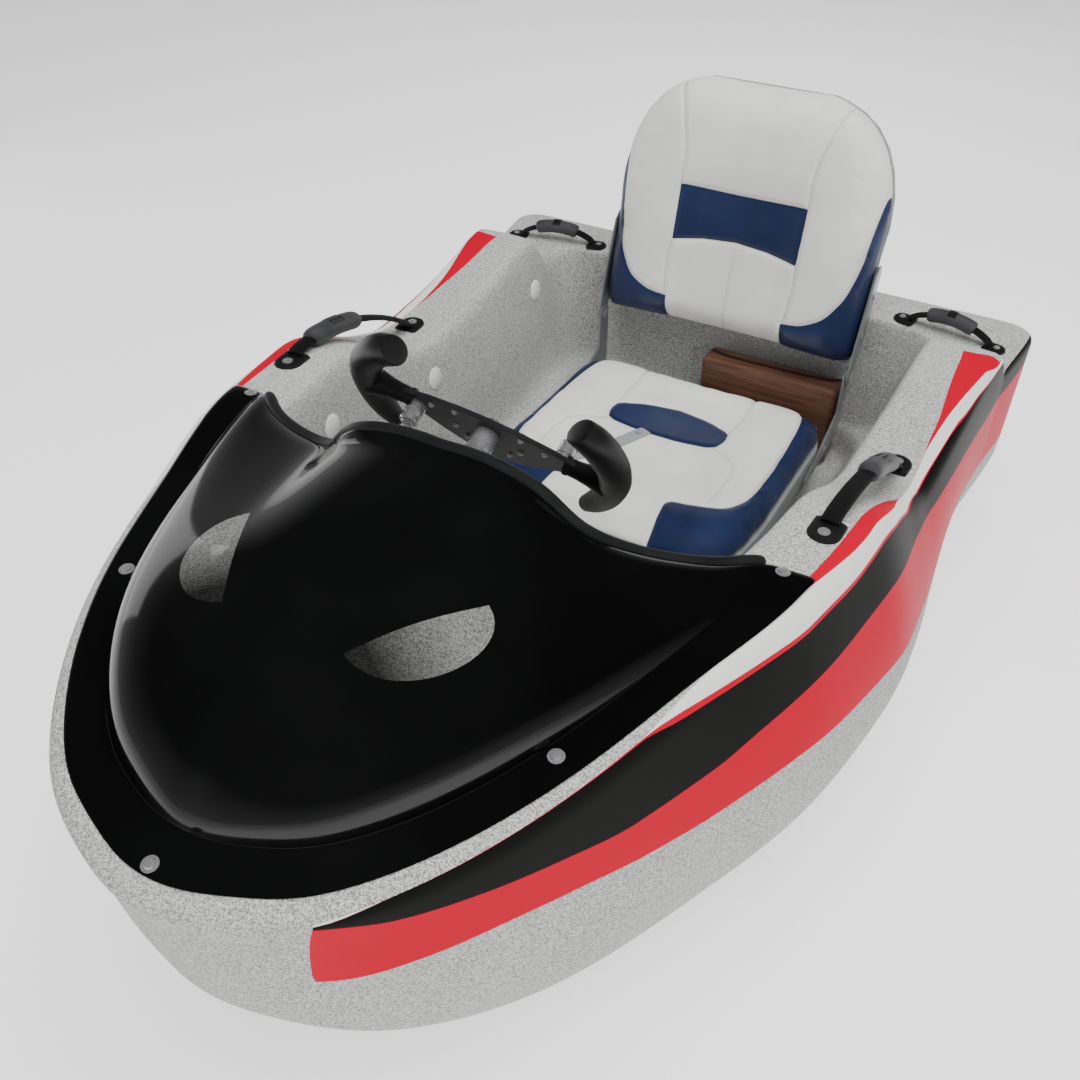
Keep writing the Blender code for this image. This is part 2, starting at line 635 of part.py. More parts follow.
def seat_top(share, y):
    """Cushion surface: a horseshoe bolster round a shallow middle, falling away at the edges."""
    t = (y - SEAT_FRONT) / (SEAT_REAR - SEAT_FRONT)
    plane = cushion_plane(y)
    side = abs(share)
    edge = along(((0.0, 0.0), (0.76, 0.0), (0.88, -0.006), (0.95, -0.017), (1.0, -0.037)), side)
    ends = along(((0.0, -0.034), (0.07, -0.010), (0.16, 0.0), (0.88, 0.0), (0.96, -0.008), (1.0, -0.022)), t)
    well = along(((0.0, -0.016), (0.42, -0.014), (0.60, 0.0), (1.0, 0.0)), side)
    well *= along(((0.0, 0.2), (0.25, 0.6), (0.40, 1.0), (0.80, 1.0), (0.92, 0.2), (1.0, 0.0)), t)
    return max(plane + edge + ends + well, pan_top(y) + 0.012)


def seat_half(y):
    t = (y - SEAT_FRONT) / (SEAT_REAR - SEAT_FRONT)
    return SEAT_HALF * along(((0.0, 0.80), (0.05, 0.90), (0.15, 0.965), (0.35, 1.0), (0.90, 1.0), (1.0, 0.93)), t)


def seat():
    stations = [SEAT_FRONT + (SEAT_REAR - SEAT_FRONT) * t for t in
                (0.0, 0.035, 0.08, 0.16, 0.25, 0.36, 0.48, 0.60, 0.72, 0.82, 0.90, 0.96, 1.0)]
    columns = (-1.0, -0.95, -0.88, -0.76, -0.60, -0.48, -0.36, 0.0, 0.36, 0.48, 0.60, 0.76, 0.88, 0.95, 1.0)
    add("seat_cushion", pad_mesh(stations, columns, lambda y: seat_half(y) - 0.004, seat_top,
                                 lambda s, y: pan_top(y) + GAP), "vinyl")
    add("seat_pan", pad_mesh(stations, (-1.0, -0.9, 0.9, 1.0), seat_half, lambda s, y: pan_top(y),
                             lambda s, y: PAN_BOTTOM + (0.016 if abs(s) > 0.95 else 0.0)), "shell")
    base = box_mesh((-BASE_HALF, 1.02, FLOOR_Z + GAP), (BASE_HALF, 1.40, PAN_BOTTOM - GAP))
    modify(add("seat_base", base, "wood"), "BEVEL", width=0.004, segments=1)

    case = box_mesh((-0.030, HINGE_Y - 0.013, FLOOR_Z + GAP), (SEAT_HALF - SWING, HINGE_Y + 0.047, HINGE_Z - 0.007))
    modify(add("battery_case", case, "wood"), "BEVEL", width=0.010, segments=2)

    # Webbing that ties the folded back down, lying along the cushion: across, station
    route = ((-0.105, 1.075), (-0.085, 1.115), (-0.060, 1.160), (-0.036, 1.205), (-0.020, 1.235))
    add("tie_strap", strip_mesh(route, 0.014, 0.0022, 0.0012), "webbing")

    lean = math.radians(BACK_LEAN)
    # Local Y runs up the back and local Z forward
    frame = Matrix.Translation((0, HINGE_Y, HINGE_Z)) @ Matrix.Rotation(math.pi / 2 - lean, 4, "X")
    back = empty("back", BOAT, frame)
    rows = [BACK_LOW + (BACK_HIGH - BACK_LOW) * t for t in
            (0.0, 0.04, 0.10, 0.20, 0.42, 0.54, 0.66, 0.76, 0.84, 0.91, 0.955, 0.985, 1.0)]

    def back_half(u):
        t = (u - BACK_LOW) / (BACK_HIGH - BACK_LOW)
        return BACK_HALF * along(((0.0, 0.97), (0.06, 1.0), (0.44, 1.0), (0.54, 1.01), (0.66, 0.99), (0.80, 0.91),
                                  (0.91, 0.77), (0.97, 0.61), (1.0, 0.45)), t)

    def front(s, u):
        t = (u - BACK_LOW) / (BACK_HIGH - BACK_LOW)
        edge = along(((0.0, 0.0), (0.70, 0.0), (0.90, 0.016), (1.0, 0.046)), abs(s))
        ends = along(((0.0, 0.030), (0.06, 0.008), (0.14, 0.0), (0.84, 0.0), (0.95, 0.016), (1.0, 0.046)), t)
        well = along(((0.0, 0.014), (0.40, 0.012), (0.52, 0.0), (1.0, 0.0)), abs(s))
        well *= along(((0.0, 1.0), (0.60, 1.0), (0.68, 0.0), (1.0, 0.0)), t)
        return -min(BACK_FRONT + max(edge, ends) + well, BACK_REAR - 0.012)

    rear = -BACK_REAR
    add("back_cushion", pad_mesh(rows, columns, lambda u: back_half(u) - 0.003, front,
                                 lambda s, u: rear + GAP), "vinyl", back)
    add("back_shell", pad_mesh(rows, (-1.0, -0.6, 0.6, 1.0), back_half, lambda s, u: rear,
                               lambda s, u: rear - (SHELL_THICK if abs(s) < 0.9 else 0.006)), "shell", back)

    for side, word in ((1, "port"), (-1, "starboard")):
        brackets(side, word, back)


def brackets(side, word, back):
    """Seat bracket, back arm and pivot pin of one side. Plates lie in the plane across the boat."""
    def across(x):
        # The plate's X runs aft, its Y up, its thickness out to port
        turn = Matrix(((0, 0, 1, x), (1, 0, 0, 0), (0, 1, 0, 0), (0, 0, 0, 1)))
        return turn

    inner = SEAT_HALF + GAP
    outer = inner + BRACKET_THICK + RUNNING
    low = inner if side > 0 else -inner - BRACKET_THICK
    fixed = [(1.330, 0.126), (HINGE_Y + 0.006, 0.126), (HINGE_Y + 0.019, 0.140)]
    fixed += [(HINGE_Y + 0.019 * math.cos(a), HINGE_Z + 0.019 * math.sin(a))
              for a in (math.pi * i / 8 for i in range(8))]
    fixed += [(HINGE_Y - 0.019, 0.190), (1.400, 0.152), (1.330, 0.146)]
    add(f"seat_bracket_{word}", plate_mesh(fixed, [(HINGE_Y, HINGE_Z, PIN_RADIUS + RUNNING)], BRACKET_THICK),
        "aluminium", BOAT, across(low))

    low = outer if side > 0 else -outer - BRACKET_THICK
    # The arm in the back's own frame: up the back, forward
    arm = [(-0.016 * math.cos(a), -0.016 * math.sin(a)) for a in (-math.pi / 2 + math.pi * i / 8 for i in range(9))]
    arm += [(0.060, -0.040), (0.190, -0.046), (0.205, -0.036), (0.205, -0.018), (0.190, -0.004), (0.060, 0.016)]
    turn = Matrix(((0, 0, 1, low), (1, 0, 0, 0), (0, 1, 0, 0), (0, 0, 0, 1)))
    add(f"back_arm_{word}", plate_mesh(arm, [(0, 0, PIN_RADIUS + RUNNING)], BRACKET_THICK), "aluminium", back, turn)

    ends = (inner - GAP - 0.003, outer + BRACKET_THICK + GAP + 0.003)
    shank = rod_mesh((side * ends[0], HINGE_Y, HINGE_Z), (side * ends[1], HINGE_Y, HINGE_Z), PIN_RADIUS)
    heads = [rod_mesh((side * ends[0], HINGE_Y, HINGE_Z), (side * (inner - GAP), HINGE_Y, HINGE_Z), 0.010),
             rod_mesh((side * (outer + BRACKET_THICK + GAP), HINGE_Y, HINGE_Z), (side * ends[1], HINGE_Y, HINGE_Z), 0.010)]
    join(f"hinge_pin_{word}", [shank, *heads], "steel")


def strip_mesh(route, half, thick, lift):
    """A flat strip laid on the seat cushion along (x, y) points."""
    mesh = bmesh.new()
    rings = []
    for i, (x, y) in enumerate(route):
        ahead, behind = Vector(route[min(i + 1, len(route) - 1)]), Vector(route[max(i - 1, 0)])
        side = (ahead - behind).normalized().orthogonal() * half
        ring = []
        for sign, up in ((-1, 0), (1, 0), (1, 1), (-1, 1)):
            px, py = x + sign * side.x, y + sign * side.y
            surface = max(seat_top(qx / seat_half(py), py) for qx in (px - 0.012, px, px + 0.012))
            ring.append(mesh.verts.new((px, py, surface + lift + up * thick)))
        rings.append(ring)
    skin(mesh, rings)
    mesh.faces.new(rings[0])
    mesh.faces.new(rings[-1])
    bmesh.ops.recalc_face_normals(mesh, faces=mesh.faces)
    return mesh


def grab_handles():
    """Webbing handles with moulded end pads and a grip sleeve, on the gunwales and on the stern humps."""
    pad_thick, pad_half, rise = 0.007, 0.018, 0.034
    front_pads = (0.770, 1.085)
    rear_pads = ((0.330, 0.016), (0.478, -0.012))
    for side, word in ((1, "port"), (-1, "starboard")):
        ends = []
        for y in front_pads:
            x = (half_width(HULL_PLAN, y) + half_width(COCKPIT_PLAN, y)) / 2
            ends.append(Vector((side * x, y, sheer(y) + GAP)))
        grab_handle(f"front_handle_{word}", ends, pad_thick, pad_half, rise)
        ends = [Vector((side * x, COCKPIT_REAR + back, sheer(HULL_LENGTH) + GAP)) for x, back in rear_pads]
        grab_handle(f"rear_handle_{word}", ends, pad_thick, pad_half * 0.7, rise * 0.7)


def grab_handle(name, ends, thick, half, rise):
    first, second = ends
    steps = 12
    strap_radius = 0.0085
    points = []
    for i in range(steps + 1):
        t = i / steps
        place = first.lerp(second, t)
        place.z += strap_radius + 0.001 + rise * math.sin(math.pi * t) ** 0.7
        points.append(place)
    strap = tube_mesh(points, strap_radius)
    sleeve = tube_mesh(points[5:10] if len(points) > 9 else points, 0.0155)
    meshes = [strap, sleeve]
    direction = (second - first) * Vector((1, 1, 0))
    direction.normalize()
    for place, sign in ((first, -1), (second, 1)):
        middle = place + direction * sign * half * 0.5
        meshes.append(rod_mesh(middle, middle + Vector((0, 0, thick)), half, half * 0.9))
    join(name, meshes, "rubber")


def drive():
    """Stern bracket on the hull; leg, motor pod and guard that swivel; propeller that turns."""
    lug_top, lug_low, lug = 0.270, 0.185, 0.018
    plate = box_mesh((-0.060, NOTCH_FRONT + GAP, 0.180), (0.060, NOTCH_FRONT + 0.008, 0.300))
    lugs = [box_mesh((-0.028, NOTCH_FRONT + 0.004, z), (0.028, SWIVEL_Y + 0.026, z + lug)) for z in (lug_low, lug_top)]
    bracket = join("drive_bracket", [plate, *lugs], "aluminium")
    cut(bracket, add("swivel_bore", rod_mesh((0, SWIVEL_Y, 0.1), (0, SWIVEL_Y, 0.4), LEG_RADIUS + RUNNING), "steel",
                     cutter=True))

    turn = Matrix.Translation((0, SWIVEL_Y, 0)) @ Matrix.Rotation(DRIVE_REST, 4, "Z")
    swivel = empty("swivel", BOAT, turn)
    pod_top = POD_Z + POD_RADIUS + GAP
    collar_z = lug_top + lug + GAP
    leg = rod_mesh((0, 0, pod_top), (0, 0, collar_z + 0.008), LEG_RADIUS, sides=20)
    collar = rod_mesh((0, 0, collar_z), (0, 0, collar_z + 0.008), LEG_RADIUS + 0.008, sides=20)
    join("drive_leg", [leg, collar], "aluminium", swivel)

    pod = ((POD_FRONT, 0.018), (POD_FRONT + 0.008, 0.032), (POD_FRONT + 0.020, POD_RADIUS), (0.074, POD_RADIUS),
           (0.090, 0.032), (POD_REAR, 0.020))
    lifted = Matrix.Translation((0, 0, POD_Z))
    add("motor_pod", turned_mesh(pod), "black", swivel, lifted)

    hub_front = POD_REAR + GAP * 2
    hub = turned_mesh([(hub_front, HUB_RADIUS), (hub_front + HUB_LENGTH * 0.6, HUB_RADIUS),
                       (hub_front + HUB_LENGTH, HUB_RADIUS * 0.5)], sides=18)
    blades = [blade_mesh(2 * math.pi * i / 3, hub_front + HUB_LENGTH * 0.35) for i in range(3)]
    join("propeller", [hub, *blades], "black", swivel, lifted)

    ring_out = turned_mesh([(GUARD_START, GUARD_RADIUS), (GUARD_END, GUARD_RADIUS)], sides=36)
    collar_half = 0.010
    collar_y = 0.050
    collar = turned_mesh([(collar_y - collar_half, POD_RADIUS + 0.005), (collar_y + collar_half, POD_RADIUS + 0.005)])
    struts = []
    for i in range(3):
        angle = math.pi / 2 + 2 * math.pi * i / 3 + math.pi / 3
        out = Vector((math.cos(angle), 0, math.sin(angle)))
        struts.append(rod_mesh(out * (POD_RADIUS + 0.003) + Vector((0, collar_y, 0)),
                               out * (GUARD_RADIUS - GUARD_WALL / 2) + Vector((0, GUARD_START + 0.006, 0)), 0.005, sides=10))
    guard = add("prop_guard", ring_out, "black", swivel, lifted)
    cut(guard, add("guard_bore", turned_mesh([(0.0, GUARD_RADIUS - GUARD_WALL), (0.3, GUARD_RADIUS - GUARD_WALL)],
                                             sides=36), "black", swivel, lifted, cutter=True))
    for i, mesh in enumerate([collar, *struts]):
        cut(guard, add(f"guard_add_{i}", mesh, "black", swivel, lifted, cutter=True), "UNION")
    cut(guard, add("pod_bore", turned_mesh([(0.0, POD_RADIUS + GAP), (0.08, POD_RADIUS + GAP)]), "black", swivel,
                   lifted, cutter=True))


def blade_mesh(angle, y):
    """One twisted blade: radius, half chord, pitch in degrees."""
    rows = ((HUB_RADIUS * 0.6, 0.012, 50.0), (0.035, 0.020, 38.0), (0.058, 0.024, 28.0), (PROP_RADIUS, 0.012, 22.0))
    thick = 0.0035
    mesh = bmesh.new()
    rings = []
    for radius, half, pitch in rows:
        tilt = math.radians(pitch)
        ring = []
        for u, v in ((-half, -thick / 2), (half, -thick / 2), (half, thick / 2), (-half, thick / 2)):
            across = u * math.cos(tilt) - v * math.sin(tilt)
            fore = u * math.sin(tilt) + v * math.cos(tilt)
            ring.append(mesh.verts.new((across, y + fore * 0.6, radius)))
        rings.append(ring)
    skin(mesh, rings)
    mesh.faces.new(rings[0])
    mesh.faces.new(rings[-1])
    bmesh.ops.recalc_face_normals(mesh, faces=mesh.faces)
    bmesh.ops.rotate(mesh, cent=(0, 0, 0), matrix=Matrix.Rotation(angle, 3, "Y"), verts=mesh.verts)
    return mesh


def drain_plug():
    y = HULL_LENGTH + GAP
    add("drain_plug", rod_mesh((0.30, y, 0.09), (0.30, y + 0.010, 0.09), 0.013), "black")


hull()
cowl()
steering()
seat()
grab_handles()
drive()
drain_plug()
bpy.context.view_layer.update()
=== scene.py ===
"""Kart boat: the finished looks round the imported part.

Metres, +Z up, bow towards -Y. A station is a distance aft of the bow.
"""

import math

import bmesh
import bpy
import numpy as np
from mathutils import Matrix, Vector


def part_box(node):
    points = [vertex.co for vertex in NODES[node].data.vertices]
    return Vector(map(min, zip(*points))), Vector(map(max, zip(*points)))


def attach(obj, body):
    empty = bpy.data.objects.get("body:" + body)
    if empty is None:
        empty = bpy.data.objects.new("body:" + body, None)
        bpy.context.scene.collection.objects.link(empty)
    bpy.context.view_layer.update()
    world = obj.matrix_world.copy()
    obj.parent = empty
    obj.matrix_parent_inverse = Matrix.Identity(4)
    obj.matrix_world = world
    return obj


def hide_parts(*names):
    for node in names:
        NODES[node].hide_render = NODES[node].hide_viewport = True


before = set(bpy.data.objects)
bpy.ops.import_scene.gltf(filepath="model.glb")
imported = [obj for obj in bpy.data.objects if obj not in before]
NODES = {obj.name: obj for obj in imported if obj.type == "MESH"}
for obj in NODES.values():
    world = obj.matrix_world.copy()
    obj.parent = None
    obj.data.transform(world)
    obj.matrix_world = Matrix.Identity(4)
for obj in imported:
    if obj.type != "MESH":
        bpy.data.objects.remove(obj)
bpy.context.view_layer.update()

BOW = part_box("hull")[0].y        # where station 0 lies

# Hull form, as in the part
HULL_LENGTH = 1.72
STERN_HALF = 0.552
STERN_RADIUS = 0.045
KEEL_DROP = 0.010
ROCKER_START = 0.56
ROCKER = 0.64
FLOOR_Z = 0.055
SKIN = 0.045
NOSE_END = 0.31
COCKPIT_FRONT = 0.12
COCKPIT_REAR = HULL_LENGTH - 0.120
COCKPIT_RADIUS = 0.060
COCKPIT_REAR_SLOPE = 0.2
RIM_INSET = 0.012
RIM_SHARE = 1 - RIM_INSET / STERN_HALF        # the rim's outer edge, as a share of the half width
HULL_PLAN = ((0.0, 0.0), (0.02, 0.085), (0.046, 0.145), (0.10, 0.208), (0.26, 0.313), (0.44, 0.380),
             (0.62, 0.441), (0.92, 0.480), (1.32, 0.502), (1.52, 0.522), (HULL_LENGTH, STERN_HALF))
COCKPIT_PLAN = ((COCKPIT_FRONT, 0.0), (0.16, 0.118), (0.26, 0.205), (0.44, 0.283), (0.66, 0.337),
                (0.86, 0.362), (1.11, 0.372), (1.31, 0.385), (COCKPIT_REAR, 0.400))
SHEER = ((0.0, 0.475), (0.31, 0.512), (0.62, 0.522), (0.74, 0.509), (0.80, 0.509), (0.88, 0.480),
         (0.955, 0.437), (1.02, 0.411), (1.06, 0.395), (1.12, 0.395), (1.27, 0.401), (1.42, 0.420),
         (1.46, 0.420), (1.49, 0.396), (1.51, 0.364), (1.524, 0.353), (HULL_LENGTH, 0.353))
# Outer skin from the bottom up: share of the height, inset, rake of the bow
HULL_LEVELS = ((0.00, 0.110, 0.030), (0.04, 0.065, 0.030), (0.12, 0.005, 0.030), (0.25, -0.055, 0.030),
               (0.42, -0.080, 0.020), (0.60, -0.070, 0.015), (0.80, -0.035, 0.010), (0.93, -0.006, 0.0),
               (0.97, 0.000, 0.0), (1.00, RIM_INSET, 0.0))
# Station, share of an outward inset that the side takes there
BULGE = ((0.0, 0.55), (0.2, 0.45), (0.5, 0.95), (0.8, 1.05), (0.95, 0.85), (1.2, 0.4), (1.4, 0.15),
         (1.6, 0.0))
# Across the rim, from its outer edge: share of its width, crown
RIM_ROWS = ((0.12, 0.0015), (0.40, 0.003), (0.70, 0.003), (0.90, 0.0015))
# Cockpit lining from the rim down: share of the height, inset
COCKPIT_LEVELS = ((1.00, 0.000), (0.965, 0.008), (0.90, 0.014), (0.60, 0.030), (0.30, 0.044), (0.215, 0.060),
                  (0.20, 0.078), (0.17, 0.096), (0.06, 0.105), (0.005, 0.116), (0.00, 0.130))
SIDE_STATIONS = (0.31, 0.38, 0.45, 0.52, 0.59, 0.66, 0.74, 0.80, 0.84, 0.88, 0.92, 0.955, 0.99, 1.02, 1.06,
                 1.12, 1.20, 1.27, 1.34, 1.40, 1.44, 1.465, 1.49, 1.51, 1.525, 1.537)
# Across the bottom, port to starboard: share of the half width, drop
STRAKES = ((0.74, 0.0), (0.70, 1.0), (0.60, 1.0), (0.56, 0.0), (0.30, 0.0), (0.11, 0.0), (0.06, 1.0),
           (0.0, 1.0))
ACROSS = (*STRAKES, *[(-share, drop) for share, drop in reversed(STRAKES[:-1])])
NOSE_POINTS = 9
CORNER_POINTS = 5
NOTCH_HALF = 0.13
NOTCH_FRONT = HULL_LENGTH - 0.100
NOTCH_TOP = 0.30
# White plugs in the cockpit's sides: across, station, height
PLUGS = ((0.370, 1.442, 0.323), (0.353, 1.047, 0.340), (0.336, 0.742, 0.430))

# Side stripes: station, height of each edge on the outer skin
RED_LOW = ((0.0, 0.350), (0.06, 0.357), (0.13, 0.368), (0.19, 0.371), (0.26, 0.364), (0.35, 0.346),
           (0.45, 0.335), (0.55, 0.334), (0.64, 0.326), (0.75, 0.310), (0.90, 0.276), (1.05, 0.232),
           (1.3, 0.172), (HULL_LENGTH, 0.13))
BLACK_LOW = ((0.0, 0.466), (0.06, 0.464), (0.11, 0.449), (0.17, 0.439), (0.25, 0.425), (0.34, 0.408),
             (0.44, 0.406), (0.52, 0.416), (0.60, 0.421), (0.69, 0.420), (0.79, 0.416), (0.92, 0.390),
             (1.08, 0.353), (1.19, 0.335), (1.32, 0.317), (1.46, 0.302), (1.60, 0.298), (HULL_LENGTH, 0.305))
# Upper edges: station, distance in from the rim's outer edge, or down from it where negative
BLACK_TOP = ((0.0, -0.018), (0.064, -0.014), (0.12, -0.006), (0.36, -0.005), (0.41, -0.013), (0.47, -0.020),
             (0.54, -0.026), (0.62, -0.033), (0.71, -0.030), (0.80, -0.029), (0.87, -0.020), (0.94, -0.009),
             (1.01, -0.001), (1.09, 0.003), (1.17, 0.001), (1.25, -0.003), (1.33, -0.009), (1.41, -0.020),
             (1.46, -0.020), (1.50, -0.008), (1.54, -0.005), (HULL_LENGTH, -0.005))
# Width of the thin red line between black and white
LINE_WIDTH = ((0.0, 0.0), (0.36, 0.002), (0.42, 0.007), (0.80, 0.005), (1.0, 0.0025), (1.40, 0.002),
              (1.5, 0.0))
WHITE_TOP = ((0.0, -0.018), (0.12, -0.006), (0.36, -0.003), (0.40, 0.003), (0.476, 0.012), (0.528, 0.017),
             (0.565, 0.019), (0.612, 0.015), (0.664, 0.010), (0.726, 0.004), (0.795, -0.002), (0.887, 0.002),
             (0.962, 0.013), (1.08, 0.017), (1.156, 0.021), (1.245, 0.018), (1.326, 0.009), (1.391, -0.002),
             (1.44, -0.012), (1.50, -0.005), (HULL_LENGTH, -0.005))
PAINT_TOP = (*WHITE_TOP[:7], (0.617, 0.021), (0.744, 0.0215), (0.862, 0.022), (0.938, 0.0225),
             (0.966, 0.016), (0.985, 0.0135), (1.015, 0.0145), (1.123, 0.019), (1.18, 0.024), (1.24, 0.027),
             (1.29, 0.033), (1.355, 0.041), (1.407, 0.046), (1.436, 0.050), (1.442, -0.012), (1.50, -0.005),
             (HULL_LENGTH, -0.005))
STRIPE_START = 0.059
STRIPE_END = HULL_LENGTH - 0.012
TOP_REACH = 0.075        # further in from the rim's edge than this, nothing is painted

# Bow cowl
COWL_THICK = 0.004
COWL_REAR = 0.66
COWL_LIFT = 0.0006
FLANGE_OUTER = 0.10
FLANGE_INNER = 0.60
SPINE_FRONT = 0.20
SPINE_REAR = 0.54
# Share of the way to the spine; rise at the nose, amidships and at the rear edge; rear edge moved forward
BUBBLE = ((0.0, 0.0, 0.0, 0.0, 0.0), (0.05, 0.012, 0.034, 0.008, 0.010), (0.15, 0.030, 0.056, 0.012, 0.030),
          (0.33, 0.055, 0.074, 0.018, 0.036), (0.515, 0.072, 0.088, 0.030, 0.030),
          (0.58, 0.078, 0.094, 0.062, 0.040), (0.66, 0.084, 0.098, 0.096, 0.036),
          (0.80, 0.092, 0.102, 0.108, 0.018), (0.92, 0.098, 0.104, 0.112, 0.004),
          (1.0, 0.0985, 0.1045, 0.1125, 0.0))
# Rows of points: share of the flange's width, then share of the way to the spine
FLANGE_ROWS = (0.0, 0.3, 0.6, 0.85, 0.96)
BUBBLE_ROWS = (0.0, 0.02, 0.05, 0.09, 0.14, 0.20, 0.27, 0.34, 0.41, 0.48, 0.54, 0.58, 0.62, 0.67, 0.73, 0.80,
               0.87, 0.93, 0.98)
CROWN_ROWS = 8           # each side of the middle, where the rows run together and are eased
CROWN_PASSES = 40
EDGE_FIRST_ROW = 6       # the rubber edge starts here, above the flange
EDGE_OUT = 0.006
EDGE_WIDE = 0.0092
EDGE_THICK = 0.0072
# Across, station
COWL_SCREWS = ((0.0, 0.034), (0.282, 0.300), (-0.282, 0.300), (0.390, 0.650), (-0.390, 0.650))
# Eye windows: middle of the straight edge, its direction, half length, depth towards the bow
EYE_MIDDLE = (0.116, 0.320)
EYE_ALONG = (0.510, 0.860)
EYE_HALF = 0.079
EYE_DEPTH = 0.060

# Steering yoke, as in the part
YOKE_STATION = 0.655
YOKE_HEIGHT = 0.590
YOKE_TILT = 25.0
YOKE_REST = -14.0
POST_STATION = 0.530
# Grip: across, up, forward, radius
GRIP_HORN = ((0.122, 0.1035, 0.004, 0.0190), (0.138, 0.092, 0.0035, 0.0212), (0.154, 0.070, 0.003, 0.0216),
             (0.166, 0.043, 0.003, 0.0212), (0.170, 0.013, 0.003, 0.0206), (0.166, -0.022, 0.003, 0.0196),
             (0.154, -0.058, 0.003, 0.0172), (0.138, -0.086, 0.003, 0.0120))
GRIP_RINGS = 45
GRIP_SIDES = 28
GRIP_FLAT = 0.94
SLANT_RINGS = 7          # the upper end is cut on the slant over these rings
SLANT = 0.004
ARM_START = 0.104
BUTTON_PLACE = (0.098, -0.006)
# Plate, port half: across, up; it tapers towards the grips and hangs lower in the middle
PLATE_OUTLINE = ((0.0, 0.029), (0.040, 0.027), (0.088, 0.020), (0.122, 0.010), (0.122, -0.010),
                 (0.100, -0.020), (0.070, -0.038), (0.040, -0.052), (0.015, -0.058))
PLATE_SCREWS = ((0.030, -0.034), (0.045, 0.018), (0.045, -0.016), (0.078, 0.010))

# Seat, as in the part
HINGE_Y = 1.525
HINGE_Z = 0.262
BACK_LEAN = 14.0
# Seams of the seat cushion, port half: across, station
SEAT_INSET = ((0.0, 1.338), (0.065, 1.326), (0.110, 1.302), (0.113, 1.270), (0.104, 1.240), (0.040, 1.230),
              (0.0, 1.230))
SEAT_FIELD = ((0.108, 0.93), (0.104, 0.985), (0.098, 1.041), (0.150, 1.041), (0.196, 1.058), (0.220, 1.110),
              (0.224, 1.215), (0.222, 1.296), (0.217, 1.387), (0.207, 1.44), (0.190, 1.475))
SEAT_REAR_SEAM = ((0.110, 1.302), (0.114, 1.36), (0.112, 1.47))
SEAT_BOLSTER_SEAM = ((0.104, 1.240), (0.140, 1.212), (0.160, 1.185), (0.166, 1.150), (0.164, 1.060))
SEAT_WHITE_REAR = 1.445  # behind this station the cushion's side is white
# Seams of the back cushion, port half: across, up the back from the hinge
BACK_RECT = ((0.0, 0.286), (0.121, 0.288), (0.121, 0.186), (0.062, 0.197), (0.0, 0.202))
BACK_PANEL = ((0.0, 0.202), (0.062, 0.197), (0.121, 0.186), (0.125, 0.150), (0.121, 0.09), (0.116, 0.02))
BACK_FIELD = ((0.116, 0.076), (0.156, 0.081), (0.196, 0.103), (0.226, 0.150), (0.238, 0.208), (0.243, 0.268),
              (0.250, 0.330), (0.268, 0.400))
BACK_CORNER_SEAM = ((0.121, 0.288), (0.120, 0.35), (0.140, 0.43), (0.160, 0.47))
BACK_MIDDLE_SEAM = ((0.0, 0.03), (0.0, 0.200))
BACK_NAVY_TOP = 0.40
CUSHION_SAG = 0.016
SAG_REACH = 0.30
# A cushion's cloth
PAD_VOXEL = 0.006
PAD_EASING = 16
PAD_SHRINK = 0.0015
PAD_PRESSURE = 4.0
PAD_FRAMES = 20
PAD_CAP = 0.008          # no point moves further than this
PAD_OVER = 0.002         # over the plain cushion's box
SEAM_WIDTH = 0.0045
NO_SEAM = 0.02           # given where a seam has no say, such as under a cushion
STITCH_PITCH = 0.0058
# Fold strap: across, station
STRAP_ROUTE = ((-0.096, 1.072), (-0.078, 1.100), (-0.062, 1.132), (-0.048, 1.166), (-0.035, 1.200),
               (-0.022, 1.232))
STRAP_HALF = 0.0135
STRAP_THICK = 0.0022
# Ribs on the back shell: across, top
SHELL_RIBS = ((-0.16, 0.36), (-0.08, 0.42), (0.0, 0.43), (0.08, 0.42), (0.16, 0.36))
RIB_FOOT = 0.09
SHELL_REAR = -0.0302
CASE_DROP = 0.026        # the case's lid lies this much under the plain block's top

# Handles: stations of the front pads; across and aft of the cockpit for the rear ones
FRONT_PADS = (0.770, 1.085)
REAR_PADS = ((0.330, 0.016), (0.478, -0.012))
HANDLE_STEPS = 48
HANDLE_LIFT = 0.0095
PAD_THICK = 0.0068

AXIS = 0.0001            # the smallest ring of a turned body

# Camera, and the light: name, place, aim, width, height, watts, seen in gloss
CAMERA_PLACE = (0.5824, -1.2165, 1.36)
CAMERA_PITCH = 40.78
CAMERA_TURN = 28.60
CAMERA_LENS = 36.0
LAMPS = (("overhead", (0.6, -0.3, 3.6), (0.0, 0.0, 0.2), 3.6, 3.6, 190.0, False),
         ("port", (3.2, -2.4, 2.0), (0.1, 0.0, 0.3), 2.4, 2.0, 42.0, False),
         ("bow", (-0.8, -3.4, 1.8), (0.0, -0.5, 0.4), 2.0, 1.6, 24.0, False),
         ("starboard glow", (-3.0, 0.2, 0.75), (-0.2, -0.6, 0.5), 1.5, 1.1, 7.0, True),
         ("stern", (-0.6, 3.4, 2.4), (0.0, 0.3, 0.4), 1.6, 0.8, 30.0, False))


def bow(y):
    """World Y of a station."""
    return y + BOW


